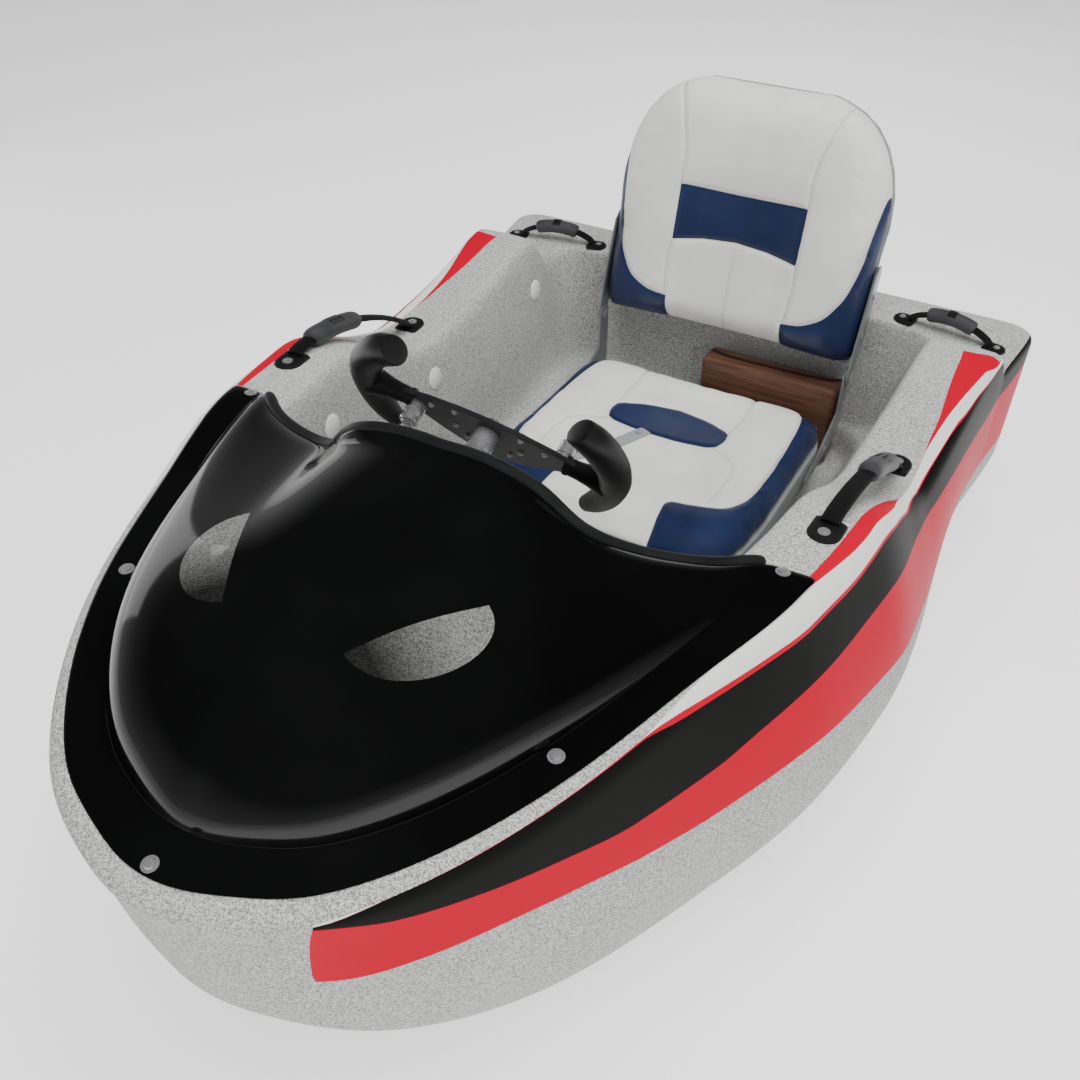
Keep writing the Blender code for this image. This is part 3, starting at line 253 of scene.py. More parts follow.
def along(table, x):
    """A smooth value from (x, value) rows, which never overshoots a row."""
    rows = list(table)
    if x <= rows[0][0]:
        return rows[0][1]
    if x >= rows[-1][0]:
        return rows[-1][1]
    slopes = [(b[1] - a[1]) / (b[0] - a[0]) for a, b in zip(rows, rows[1:])]
    tangents = [slopes[0]]
    for a, b in zip(slopes, slopes[1:]):
        tangents.append(0.0 if a * b <= 0 else 2 * a * b / (a + b))
    tangents.append(slopes[-1])
    k = max(i for i, row in enumerate(rows[:-1]) if row[0] <= x)
    (x0, y0), (x1, y1) = rows[k], rows[k + 1]
    h = x1 - x0
    t = (x - x0) / h
    return ((1 + 2 * t) * (1 - t) ** 2 * y0 + t * (1 - t) ** 2 * h * tangents[k]
            + t * t * (3 - 2 * t) * y1 + t * t * (t - 1) * h * tangents[k + 1])


def table_values(table, values, samples=400):
    """The smooth table at many values at once."""
    grid = np.linspace(table[0][0], table[-1][0], samples)
    return np.interp(values, grid, [along(table, x) for x in grid])


def smooth_rows(rows, count):
    """Rows of numbers, read smoothly at evenly spread places."""
    columns = [list(enumerate(column)) for column in zip(*rows)]
    return [Vector([along(column, t) for column in columns]) for t in np.linspace(0, len(rows) - 1, count)]


def beside(points, i):
    """The points before and after one of a line, which is its own neighbour at an end."""
    return points[max(i - 1, 0)], points[min(i + 1, len(points) - 1)]


def mirrored(point):
    return Vector((-point.x, point.y, point.z))


def turns(count):
    """Angles spread round a full turn."""
    return [2 * math.pi * i / count for i in range(count)]


def half_width(plan, y):
    tip = plan[0][0]
    return along([(math.sqrt(row[0] - tip), row[1]) for row in plan], math.sqrt(max(y - tip, 0.0)))


def sheer(y):
    return along(SHEER, y)


def bottom(y):
    return KEEL_DROP + ROCKER * max(ROCKER_START - y, 0.0) ** 2


def floor(y):
    return max(FLOOR_Z, bottom(y) + SKIN - KEEL_DROP)


# Nodes of a material


def give(tree, socket, value):
    """Links a socket to an input, or sets the input's value."""
    if isinstance(value, bpy.types.NodeSocket):
        tree.links.new(value, socket)
    else:
        socket.default_value = value


def node(tree, kind, settings=None, **inputs):
    """A node of a material. Its inputs are named in words joined by _, and each is a socket or a value."""
    made = tree.nodes.new(kind)
    for key, value in (settings or {}).items():
        setattr(made, key, value)
    for key, value in inputs.items():
        give(tree, made.inputs[key.replace("_", " ")], value)
    return made


def feed(tree, shader, **inputs):
    """Links sockets to a shader's inputs, which are named in words joined by _."""
    for key, value in inputs.items():
        tree.links.new(value, shader.inputs[key.replace("_", " ")])


def calc(tree, operation, *values):
    """The result of one Math node."""
    made = node(tree, "ShaderNodeMath", {"operation": operation})
    for socket, value in zip(made.inputs, values):
        give(tree, socket, value)
    return made.outputs[0]


def times(tree, first, second):
    return calc(tree, "MULTIPLY", first, second)


def blend_colour(tree, factor, first, second, kind="MIX"):
    """first where factor is 0; where it is 1, second, or the two multiplied."""
    made = node(tree, "ShaderNodeMix", {"data_type": "RGBA", "blend_type": kind})
    for index, value in ((0, factor), (6, first), (7, second)):
        give(tree, made.inputs[index], (*value, 1.0) if isinstance(value, tuple) else value)
    return made.outputs[2]


def ramp(tree, value, low, high, to_low, to_high):
    """A value carried from one range to another, and held inside it."""
    return node(tree, "ShaderNodeMapRange", Value=value, From_Min=low, From_Max=high, To_Min=to_low,
                To_Max=to_high).outputs[0]


def shaded(colour, share):
    return tuple(min(c * share, 1.0) for c in colour)


def new_finish(name, colour, roughness, metallic=0.0, coat=0.0, specular=0.5):
    """A material with a plain shader: returns the material, its tree, the shader and Object coordinates."""
    made = bpy.data.materials.new(name)
    made.use_nodes = True
    tree = made.node_tree
    shader = tree.nodes["Principled BSDF"]
    shader.inputs["Base Color"].default_value = (*colour, 1.0)
    shader.inputs["Roughness"].default_value = roughness
    shader.inputs["Metallic"].default_value = metallic
    shader.inputs["Coat Weight"].default_value = coat
    shader.inputs["Coat Roughness"].default_value = 0.04
    shader.inputs["Specular IOR Level"].default_value = specular
    made.diffuse_color = (*colour, 1.0)
    place = tree.nodes.new("ShaderNodeTexCoord").outputs["Object"]
    return made, tree, shader, place


def noise(tree, place, scale, detail=2.0, rough=0.5, stretch=None):
    if stretch:
        place = node(tree, "ShaderNodeMapping", Vector=place, Scale=stretch).outputs[0]
    made = node(tree, "ShaderNodeTexNoise", Vector=place, Scale=scale, Detail=detail, Roughness=rough)
    return made.outputs[0]


def bump(tree, shader, height, depth, strength=1.0, after=None):
    made = node(tree, "ShaderNodeBump", Height=height, Distance=depth, Strength=strength)
    if after:
        tree.links.new(after, made.inputs["Normal"])
    feed(tree, shader, Normal=made.outputs[0])
    return made.outputs[0]


def varied(tree, shader, place, colour, scale, amount, roughness, rough_amount):
    """Cloudy variation of a colour and a roughness."""
    cloud = noise(tree, place, scale, 3.0)
    share = ramp(tree, cloud, 0.3, 0.7, 0.0, 1.0)
    mixed = blend_colour(tree, share, shaded(colour, 1 - amount), shaded(colour, 1 + amount))
    feed(tree, shader, Base_Color=mixed,
         Roughness=ramp(tree, cloud, 0.3, 0.7, roughness - rough_amount, roughness + rough_amount))


def attribute(tree, name):
    return node(tree, "ShaderNodeAttribute", {"attribute_name": name}).outputs["Fac"]


def above(tree, value, limit=0.0):
    return calc(tree, "GREATER_THAN", value, limit)


GREY = (0.47, 0.47, 0.46)
RED = (0.56, 0.0, 0.024)
BLACK = (0.008, 0.008, 0.0075)
WHITE = (0.82, 0.82, 0.80)
NAVY = (0.011, 0.020, 0.066)
CREAM = (0.86, 0.855, 0.83)


def speckled_grey(tree, place):
    """The colour of a moulding with dark and light grains, and the grains' height."""
    fine = noise(tree, place, 620.0, 1.0, 0.4)
    coarse = noise(tree, place, 260.0, 2.0, 0.6)
    grain = calc(tree, "ADD", times(tree, fine, 0.65), times(tree, coarse, 0.35))
    share = ramp(tree, grain, 0.40, 0.61, 0.0, 1.0)
    colour = blend_colour(tree, share, shaded(GREY, 0.42), shaded(GREY, 1.48))
    cloud = ramp(tree, noise(tree, place, 5.0, 2.0), 0.35, 0.65, 0.0, 1.0)
    return blend_colour(tree, times(tree, cloud, 0.18), colour, shaded(GREY, 1.15)), grain


def hull_finish():
    made, tree, shader, place = new_finish("speckled hull", GREY, 0.55, specular=0.015)
    grey, grain = speckled_grey(tree, place)
    painted = above(tree, attribute(tree, "stripe_ends"))
    colour = grey
    on_paint = None
    for edge, tint in (("red_low", RED), ("black_low", BLACK), ("black_top", RED), ("line_top", WHITE),
                       ("white_top", RED), ("paint_top", grey)):
        over = times(tree, above(tree, attribute(tree, edge)), painted)
        colour = blend_colour(tree, over, colour, tint)
        if edge == "red_low":
            on_paint = over
        if edge == "paint_top":
            on_paint = calc(tree, "SUBTRACT", on_paint, over)
    feed(tree, shader, Base_Color=colour, Roughness=ramp(tree, on_paint, 0.0, 1.0, 0.58, 0.36))
    height = times(tree, grain, ramp(tree, on_paint, 0.0, 1.0, 1.0, 0.12))
    film = calc(tree, "ADD", height, times(tree, on_paint, 0.6))
    bump(tree, shader, film, 0.0007, 0.8)
    return made


def cowl_finish():
    made, tree, shader, place = new_finish("smoked cowl", (0.003, 0.003, 0.003), 0.07, specular=0.45)
    split = node(tree, "ShaderNodeSeparateXYZ", Vector=place)
    x = calc(tree, "SUBTRACT", calc(tree, "ABSOLUTE", split.outputs[0]), EYE_MIDDLE[0])
    y = calc(tree, "SUBTRACT", split.outputs[1], bow(EYE_MIDDLE[1]))
    length = calc(tree, "ADD", times(tree, x, EYE_ALONG[0]), times(tree, y, EYE_ALONG[1]))
    depth = calc(tree, "SUBTRACT", times(tree, x, EYE_ALONG[1]), times(tree, y, EYE_ALONG[0]))
    squares = [calc(tree, "POWER", calc(tree, "DIVIDE", value, size), 2.0)
               for value, size in ((length, EYE_HALF), (depth, EYE_DEPTH))]
    inside = times(tree, calc(tree, "LESS_THAN", calc(tree, "ADD", *squares), 1.0), above(tree, depth))
    grey, _ = speckled_grey(tree, place)
    # The window darkens towards the spine, where the cowl's shade falls on what lies under it
    shade = times(tree, ramp(tree, length, -EYE_HALF * 0.75, EYE_HALF * 0.45, 1.0, 0.1), 0.97)
    dim = blend_colour(tree, shade, shaded(GREY, 0.5), (0.01, 0.01, 0.01))
    window = blend_colour(tree, 1.0, grey, dim, "MULTIPLY")
    window = blend_colour(tree, 1.0, window, (1.9, 1.9, 1.9), "MULTIPLY")
    haze = ramp(tree, noise(tree, place, 3.0, 3.0), 0.4, 0.7, 0.0, 1.0)
    body = blend_colour(tree, haze, (0.0020, 0.0020, 0.0022), (0.0045, 0.0048, 0.0046))
    wipes = noise(tree, place, 40.0, 4.0, 0.6, (1.0, 0.15, 1.0))
    feed(tree, shader, Base_Color=blend_colour(tree, inside, body, window),
         Roughness=ramp(tree, wipes, 0.3, 0.75, 0.05, 0.13))
    bump(tree, shader, noise(tree, place, 7.0, 1.0), 0.0012, 0.25)
    return made


def rubber_finish(name, colour, roughness, grain=900.0):
    made, tree, shader, place = new_finish(name, colour, roughness)
    varied(tree, shader, place, colour, 30.0, 0.25, roughness, 0.07)
    bump(tree, shader, noise(tree, place, grain, 2.0, 0.6), 0.0003, 0.5)
    return made


def metal_finish(name, colour, roughness, metallic=0.75):
    made, tree, shader, place = new_finish(name, colour, roughness, metallic)
    lines = noise(tree, place, 260.0, 3.0, 0.6, (1.0, 1.0, 24.0))
    cloud = ramp(tree, noise(tree, place, 22.0, 3.0), 0.35, 0.7, 0.0, 1.0)
    feed(tree, shader, Base_Color=blend_colour(tree, cloud, shaded(colour, 0.82), colour),
         Roughness=ramp(tree, lines, 0.3, 0.7, roughness * 0.7, roughness * 1.35))
    bump(tree, shader, lines, 0.0002, 0.3)
    return made


def vinyl_finish():
    made, tree, shader, place = new_finish("coated fabric", CREAM, 0.42, coat=0.15, specular=0.45)
    creases = node(tree, "ShaderNodeTexVoronoi", {"feature": "DISTANCE_TO_EDGE"}, Vector=place, Scale=520.0)
    wrinkle = noise(tree, place, 24.0, 4.0, 0.55)
    cloud = ramp(tree, noise(tree, place, 9.0, 3.0), 0.3, 0.7, 0.0, 1.0)
    white = blend_colour(tree, cloud, shaded(CREAM, 0.93), shaded(CREAM, 1.05))
    blue = blend_colour(tree, cloud, shaded(NAVY, 0.8), shaded(NAVY, 1.4))
    panels = blend_colour(tree, above(tree, attribute(tree, "navy")), white, blue)
    # A seam is darker than the panels beside it
    seam = ramp(tree, attribute(tree, "seam"), 0.0, 0.0026, 0.62, 1.0)
    grey = node(tree, "ShaderNodeCombineColor", Red=seam, Green=seam, Blue=seam).outputs[0]
    feed(tree, shader, Base_Color=blend_colour(tree, 1.0, panels, grey, "MULTIPLY"),
         Roughness=ramp(tree, wrinkle, 0.3, 0.7, 0.34, 0.50))
    first = bump(tree, shader, wrinkle, 0.0016, 0.35)
    bump(tree, shader, ramp(tree, creases.outputs[0], 0.0, 0.25, 0.0, 1.0), 0.00015, 0.5, after=first)
    return made


def webbing_finish(name, colour):
    made, tree, shader, place = new_finish(name, colour, 0.75)
    bands = [node(tree, "ShaderNodeTexWave", {"wave_type": "BANDS", "bands_direction": way}, Vector=place,
                  Scale=scale, Distortion=distortion, Detail=detail).outputs[1]
             for way, scale, distortion, detail in (("Y", 110.0, 0.6, 1.0), ("X", 150.0, 0.4, 2.0))]
    weave = times(tree, *bands)
    feed(tree, shader, Base_Color=blend_colour(tree, weave, shaded(colour, 0.55), shaded(colour, 1.7)))
    bump(tree, shader, weave, 0.0006, 0.8)
    return made


def wood_finish():
    made, tree, shader, place = new_finish("varnished wood", (0.14, 0.07, 0.042), 0.4, coat=0.3)
    grain = noise(tree, place, 30.0, 5.0, 0.6, (0.35, 6.0, 6.0))
    lines = ramp(tree, grain, 0.35, 0.68, 0.0, 1.0)
    feed(tree, shader, Base_Color=blend_colour(tree, lines, (0.085, 0.038, 0.024), (0.17, 0.082, 0.05)),
         Roughness=ramp(tree, grain, 0.3, 0.7, 0.34, 0.5))
    bump(tree, shader, grain, 0.0005, 0.4)
    return made


def plain_finish(name, colour, roughness, coat=0.0, depth=0.0003, scale=300.0):
    made, tree, shader, place = new_finish(name, colour, roughness, coat=coat)
    varied(tree, shader, place, colour, 18.0, 0.14, roughness, 0.05)
    bump(tree, shader, noise(tree, place, scale, 2.0, 0.6), depth, 0.4)
    return made


HULL = hull_finish()
COWL = cowl_finish()
EDGE_RUBBER = rubber_finish("edge rubber", (0.010, 0.0105, 0.011), 0.5)
GRIP_RUBBER = rubber_finish("grip rubber", (0.006, 0.006, 0.006), 0.40, 1200.0)
HANDLE_RUBBER = rubber_finish("handle rubber", (0.009, 0.009, 0.009), 0.5)
SLEEVE_RUBBER = rubber_finish("sleeve rubber", (0.045, 0.045, 0.048), 0.5)
# Painted shade: the sleeve slots are near-black to stand for the shade inside each slot
SLOT_SHADE = rubber_finish("slot painted shade", (0.006, 0.006, 0.006), 0.8)
STEEL = metal_finish("bright steel", (0.66, 0.66, 0.68), 0.26)
POLISHED = metal_finish("polished steel", (0.78, 0.78, 0.80), 0.24, metallic=0.82)
ALUMINIUM = metal_finish("mill aluminium", (0.44, 0.45, 0.46), 0.40)
VINYL = vinyl_finish()
WEBBING = webbing_finish("black webbing", (0.008, 0.008, 0.008))
GREY_WEBBING = webbing_finish("grey webbing", (0.42, 0.43, 0.44))
THREAD = plain_finish("white thread", (0.75, 0.75, 0.72), 0.7, depth=0.0001)
SHELL = plain_finish("grey shell", (0.30, 0.31, 0.31), 0.45)
WOOD = wood_finish()
CASE_BAND = plain_finish("dark band", (0.035, 0.012, 0.008), 0.5)
COATED_BLACK = plain_finish("coated black", (0.014, 0.014, 0.015), 0.38, coat=0.2)
PLUG_WHITE = plain_finish("white plug", (0.80, 0.80, 0.79), 0.4)
PROP_BLACK = plain_finish("propeller black", (0.02, 0.02, 0.022), 0.3, coat=0.3)


# Meshes


def to_mesh(mesh, name="piece"):
    """A mesh from a bmesh, which is then freed."""
    if not isinstance(mesh, bmesh.types.BMesh):
        return mesh
    made = bpy.data.meshes.new(name)
    mesh.to_mesh(made)
    mesh.free()
    return made


def cook(mesh, *steps):
    """A mesh after modifiers: each step is a kind and its settings."""
    obj = bpy.data.objects.new("work", to_mesh(mesh))
    bpy.context.scene.collection.objects.link(obj)
    for kind, settings in steps:
        modifier = obj.modifiers.new(kind, kind)
        for key, value in settings.items():
            setattr(modifier, key, value)
    bpy.context.view_layer.update()
    made = bpy.data.meshes.new_from_object(obj.evaluated_get(bpy.context.evaluated_depsgraph_get()))
    bpy.data.objects.remove(obj)
    return made


def bevel(width, segments=2, angle=35.0):
    limit = math.radians(angle)
    return "BEVEL", {"width": width, "segments": segments, "angle_limit": limit, "harden_normals": False}


def subdivide(levels):
    return "SUBSURF", {"levels": levels, "render_levels": levels}


def piece(name, mesh, material, body="boat", replaces=(), sharp=40.0):
    """A finished piece in the world's frame, riding a body."""
    mesh = to_mesh(mesh, name)
    mesh.name = name
    obj = bpy.data.objects.new(name, mesh)
    bpy.context.scene.collection.objects.link(obj)
    if material is not None:
        mesh.materials.clear()
        mesh.materials.append(material)
    mesh.shade_smooth()
    mesh.set_sharp_from_angle(angle=math.radians(sharp))
    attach(obj, body)
    if replaces:
        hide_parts(*replaces)
    return obj


def edged(name, new_name, material, width, segments=2, angle=30.0, body="boat"):
    """A CAD node's own form with its edges rounded, in its place."""
    return piece(new_name, cook(cad_copy(name), bevel(width, segments, angle)), material, body, [name])


def cad_copy(name):
    """A merged copy of a CAD node's mesh."""
    mesh = bmesh.new()
    mesh.from_mesh(NODES[name].data)
    bmesh.ops.remove_doubles(mesh, verts=mesh.verts, dist=2e-5)
    bmesh.ops.dissolve_limit(mesh, angle_limit=math.radians(1.0), verts=mesh.verts, edges=mesh.edges)
    return mesh


def loft(rings, wrap=True, cap=True):
    """Quads between rings of points, with an end face on the first and last."""
    mesh = bmesh.new()
    rows = [[mesh.verts.new(p) for p in ring] for ring in rings]
    for low, high in zip(rows, rows[1:]):
        count = len(low)
        for i in range(count if wrap else count - 1):
            j = (i + 1) % count
            mesh.faces.new((low[i], low[j], high[j], high[i]))
    if cap:
        mesh.faces.new(rows[0])
        mesh.faces.new(rows[-1])
    bmesh.ops.recalc_face_normals(mesh, faces=mesh.faces)
    return mesh


def turned(profile, sides=32):
    """A body turned about Z from (radius, height) pairs; both ends are closed."""
    return loft([[(r * math.cos(a), r * math.sin(a), z) for a in turns(sides)] for r, z in profile])


def tube(points, wide, thick=None, sides=20, ease=None):
    """A closed tube along points, with its half sizes across and upwards. ease scales each ring."""
    thick = thick or wide
    places = [Vector(p) for p in points]
    rings = []
    for i, place in enumerate(places):
        before, after = beside(places, i)
        tangent = (after - before).normalized()
        side = tangent.cross(Vector((0, 0, 1))).normalized()
        rise = side.cross(tangent).normalized()
        scale = ease[i] if ease else 1.0
        rings.append([place + scale * (side * wide * math.cos(a) + rise * thick * math.sin(a))
                      for a in turns(sides)])
    return loft(rings)


def move(mesh, matrix):
    bmesh.ops.transform(mesh, matrix=matrix, verts=mesh.verts)
    return mesh


def together(*meshes):
    """One bmesh from several."""
    whole = bmesh.new()
    for mesh in meshes:
        part = to_mesh(mesh)
        whole.from_mesh(part)
        bpy.data.meshes.remove(part)
    return whole


def set_values(mesh, name, values):
    made = mesh.attributes.new(name, "FLOAT", "POINT")
    made.data.foreach_set("value", np.asarray(values, np.float32))


def points_of(mesh):
    found = np.empty(len(mesh.vertices) * 3, np.float32)
    mesh.vertices.foreach_get("co", found)
    return found.reshape(-1, 3).astype(float)


def move_points(mesh, points):
    mesh.vertices.foreach_set("co", points.astype(np.float32).ravel())
    mesh.update()


# Repeated pieces


def repeat_tree(name, follows_line, material):
    """Instances of a piece on points that carry a direction, or along a line at a spacing."""
    tree = bpy.data.node_groups.new(name, "GeometryNodeTree")
    tree.interface.new_socket("Geometry", in_out="INPUT", socket_type="NodeSocketGeometry")
    tree.interface.new_socket("Piece", in_out="INPUT", socket_type="NodeSocketObject")
    tree.interface.new_socket("Spacing", in_out="INPUT", socket_type="NodeSocketFloat")
    tree.interface.new_socket("Geometry", in_out="OUTPUT", socket_type="NodeSocketGeometry")
    start, end = tree.nodes.new("NodeGroupInput"), tree.nodes.new("NodeGroupOutput")
    info = tree.nodes.new("GeometryNodeObjectInfo")
    tree.links.new(start.outputs["Piece"], info.inputs["Object"])
    align = tree.nodes.new("FunctionNodeAlignRotationToVector")
    place = tree.nodes.new("GeometryNodeInstanceOnPoints")
    if follows_line:
        line = tree.nodes.new("GeometryNodeMeshToCurve")
        spread = tree.nodes.new("GeometryNodeResampleCurve")
        spread.mode = "LENGTH"
        tree.links.new(start.outputs["Geometry"], line.inputs["Mesh"])
        tree.links.new(line.outputs["Curve"], spread.inputs["Curve"])
        tree.links.new(start.outputs["Spacing"], spread.inputs["Length"])
        tree.links.new(spread.outputs["Curve"], place.inputs["Points"])
        align.axis = "X"
        tree.links.new(tree.nodes.new("GeometryNodeInputTangent").outputs[0], align.inputs["Vector"])
    else:
        dots = tree.nodes.new("GeometryNodeMeshToPoints")
        facing = tree.nodes.new("GeometryNodeInputNamedAttribute")
        facing.data_type = "FLOAT_VECTOR"
        facing.inputs["Name"].default_value = "facing"
        tree.links.new(start.outputs["Geometry"], dots.inputs["Mesh"])
        tree.links.new(dots.outputs["Points"], place.inputs["Points"])
        align.axis = "Z"
        tree.links.new(facing.outputs["Attribute"], align.inputs["Vector"])
    tree.links.new(align.outputs["Rotation"], place.inputs["Rotation"])
    tree.links.new(info.outputs["Geometry"], place.inputs["Instance"])
    solid = tree.nodes.new("GeometryNodeRealizeInstances")
    coat = tree.nodes.new("GeometryNodeSetMaterial")
    coat.inputs["Material"].default_value = material
    tree.links.new(place.outputs["Instances"], solid.inputs["Geometry"])
    tree.links.new(solid.outputs["Geometry"], coat.inputs["Geometry"])
    tree.links.new(coat.outputs["Geometry"], end.inputs["Geometry"])
    return tree


def repeated(tree, shape, guide, spacing=0.01):
    """The plain mesh that a tree makes of a shape on a guide mesh."""
    model = bpy.data.objects.new("shape", to_mesh(shape))
    holder = bpy.data.objects.new("guide", to_mesh(guide))
    for obj in (model, holder):
        bpy.context.scene.collection.objects.link(obj)
    modifier = holder.modifiers.new("repeat", "NODES")
    sockets = {item.name: item.identifier for item in tree.interface.items_tree if item.in_out == "INPUT"}
    modifier.node_group = tree
    modifier[sockets["Piece"]] = model
    modifier[sockets["Spacing"]] = spacing
    bpy.context.view_layer.update()
    made = bpy.data.meshes.new_from_object(holder.evaluated_get(bpy.context.evaluated_depsgraph_get()))
    bpy.data.objects.remove(holder)
    bpy.data.objects.remove(model)
    return made


def points_guide(rows):
    """A mesh of loose points, each with the direction that it faces."""
    mesh = bpy.data.meshes.new("points")
    mesh.from_pydata([tuple(place) for place, _ in rows], [], [])
    facing = mesh.attributes.new("facing", "FLOAT_VECTOR", "POINT")
    facing.data.foreach_set("vector", np.array([tuple(way) for _, way in rows], np.float32).ravel())
    return mesh


def line_guide(lines):
    mesh = bpy.data.meshes.new("line")
    points, edges = [], []
    for line in lines:
        first = len(points)
        points += [tuple(p) for p in line]
        edges += [(first + i, first + i + 1) for i in range(len(line) - 1)]
    mesh.from_pydata(points, edges, [])
    return mesh


def screw_head(radius):
    """A pan-head screw with a hexagon socket, on its washer."""
    washer = turned([(AXIS, 0.0), (radius * 1.5, 0.0), (radius * 1.5, 0.0008), (radius * 0.8, 0.0012),
                     (AXIS, 0.0012)])
    head = turned([(AXIS, 0.0008), (radius, 0.0008), (radius, 0.0020), (radius * 0.86, 0.0031),
                   (radius * 0.52, 0.0035)], 24)
    socket = turned([(radius * 0.5, 0.0036), (radius * 0.44, 0.0034), (radius * 0.40, 0.0018)], 6)
    return together(washer, head, socket)


def screws(name, radius, rows, body="boat"):
    piece(name, repeated(SCREWS, screw_head(radius), points_guide(rows)), None, body)


SCREWS = repeat_tree("screws", False, STEEL)
STITCHES = repeat_tree("stitches", True, THREAD)
SLOTS = repeat_tree("sleeve slots", False, SLOT_SHADE)


# Hull


def half_outline(plan, rear, radius):
    """(x, y) points from the middle of the nose to the rear corner's end."""
    tip = plan[0][0]
    nose = [tip + (NOSE_END - tip) * (i / NOSE_POINTS) ** 2 for i in range(NOSE_POINTS)]
    points = [(half_width(plan, y), y) for y in [*nose, *SIDE_STATIONS]]
    corner_x = half_width(plan, rear - radius) - radius
    for i in range(CORNER_POINTS):
        angle = math.pi / 2 * i / (CORNER_POINTS - 1)
        points.append((corner_x + radius * math.cos(angle), rear - radius + radius * math.sin(angle)))
    return points


def inset_half(points, inset, rake, rear_inset, bulge=((0.0, 1.0), (1.0, 1.0))):
    widest = max(x for x, _ in points)
    front, rear = points[0][1], points[-1][1]
    new_front, new_rear = front + max(inset, 0.0) + rake, rear - rear_inset
    stretch = (new_rear - new_front) / (rear - front)
    made = []
    for x, y in points:
        taken = inset if inset > 0 else inset * along(bulge, y)
        made.append((x * (1 - taken / widest), new_front + (y - front) * stretch))
    return made


HULL_OUTLINE = half_outline(HULL_PLAN, HULL_LENGTH, STERN_RADIUS)
COCKPIT_OUTLINE = half_outline(COCKPIT_PLAN, COCKPIT_REAR, COCKPIT_RADIUS)


def hull_level(share, inset, rake):
    half = inset_half(HULL_OUTLINE, inset, rake, inset if share >= 1.0 else 0.0, BULGE)
    return [Vector((x, y, bottom(y) + (sheer(y) - bottom(y)) * share)) for x, y in half]


def cockpit_level(share, inset):
    half = inset_half(COCKPIT_OUTLINE, inset, inset / 2, inset * COCKPIT_REAR_SLOPE)
    return [Vector((x, y, floor(y) + (sheer(y) - floor(y)) * share)) for x, y in half]


def full_ring(half, drop_by=0.0):
    """A ring in the world's frame: port half, stern with a point at each strake's edge, starboard half."""
    corner = half[-1]
    stern = [Vector((corner.x * share, corner.y, corner.z - drop_by * drop)) for share, drop in ACROSS]
    ring = [*half, *stern, *[mirrored(p) for p in reversed(half[1:])]]
    return [p + Vector((0, BOW, 0)) for p in ring]


def fill_level(mesh, ring, count, drop_by):
    """Quads across a ring of vertices, from the nose to the stern. count is the length of its port half."""
    rows = []
    for i in range(1, count - 1):
        port, starboard = ring[i], ring[-i]
        middle = [mesh.verts.new((port.co.x * share, port.co.y, port.co.z - drop_by * drop))
                  for share, drop in ACROSS]
        rows.append([port, *middle, starboard])
    rows.append([ring[count - 1], *ring[count:count + len(ACROSS)], ring[count + len(ACROSS)]])
    for low, high in zip(rows, rows[1:]):
        for i in range(len(low) - 1):
            mesh.faces.new((low[i], low[i + 1], high[i + 1], high[i]))
    for i in range(len(rows[0]) - 1):
        mesh.faces.new((ring[0], rows[0][i], rows[0][i + 1]))


def stripe_values(mesh):
    """How far each point lies above each edge of the side stripes."""
    x, y, z = points_of(mesh).T
    station = y - BOW
    grid = np.linspace(0, HULL_LENGTH, 900)
    rim = np.interp(station, grid, [half_width(HULL_PLAN, s) * RIM_SHARE for s in grid])
    top = np.interp(station, grid, [sheer(s) for s in grid])
    in_from_edge = np.maximum(rim - np.abs(x), 0.0)
    girth = in_from_edge - np.maximum(top - z, 0.0)
    girth = np.where(in_from_edge > TOP_REACH, 1.0, girth)
    red_low, black_low = table_values(RED_LOW, station), table_values(BLACK_LOW, station)
    black_top = table_values(BLACK_TOP, station)
    # The stripes have small round corners at the bow
    corner = 0.012 * np.clip(np.abs(z - (red_low + black_low) / 2) / 0.05 - 0.72, 0, 1) ** 2
    set_values(mesh, "red_low", z - red_low)
    set_values(mesh, "black_low", z - black_low)
    set_values(mesh, "black_top", girth - black_top)
    set_values(mesh, "line_top", girth - black_top - table_values(LINE_WIDTH, station))
    set_values(mesh, "white_top", girth - table_values(WHITE_TOP, station))
    set_values(mesh, "paint_top", girth - table_values(PAINT_TOP, station))
    set_values(mesh, "stripe_ends", np.minimum(station - STRIPE_START - corner, STRIPE_END - station))


def build_hull():
    rings = [full_ring(hull_level(*row), KEEL_DROP if i == 0 else 0.0) for i, row in enumerate(HULL_LEVELS)]
    outer, inner = hull_level(*HULL_LEVELS[-1]), cockpit_level(*COCKPIT_LEVELS[0])
    for share, crown in RIM_ROWS:
        rings.append(full_ring([a.lerp(b, share) + Vector((0, 0, crown)) for a, b in zip(outer, inner)]))
    rings += [full_ring(cockpit_level(*row)) for row in COCKPIT_LEVELS]
    mesh = loft(rings, cap=False)
    mesh.verts.ensure_lookup_table()
    size = len(rings[0])
    lowest, innermost = mesh.verts[:size], mesh.verts[-size:]
    fill_level(mesh, lowest, len(HULL_OUTLINE), KEEL_DROP)
    fill_level(mesh, innermost, len(HULL_OUTLINE), 0.0)
    bmesh.ops.recalc_face_normals(mesh, faces=mesh.faces)
    # The notch for the drive
    cutter = bmesh.new()
    bmesh.ops.create_cube(cutter, size=1.0)
    low = Vector((-NOTCH_HALF, bow(NOTCH_FRONT), -0.1))
    high = Vector((NOTCH_HALF, bow(HULL_LENGTH + 0.1), NOTCH_TOP))
    for vert in cutter.verts:
        vert.co = Vector((low + high) / 2) + Vector(vert.co[i] * (high - low)[i] for i in range(3))
    box = bpy.data.objects.new("notch cutter", to_mesh(cutter))
    bpy.context.scene.collection.objects.link(box)
    made = cook(mesh, subdivide(2), ("BOOLEAN", {"object": box, "solver": "EXACT"}))
    bpy.data.objects.remove(box)
    stripe_values(made)
    piece("hull_skin", made, HULL, "boat", ["hull"], sharp=50.0)


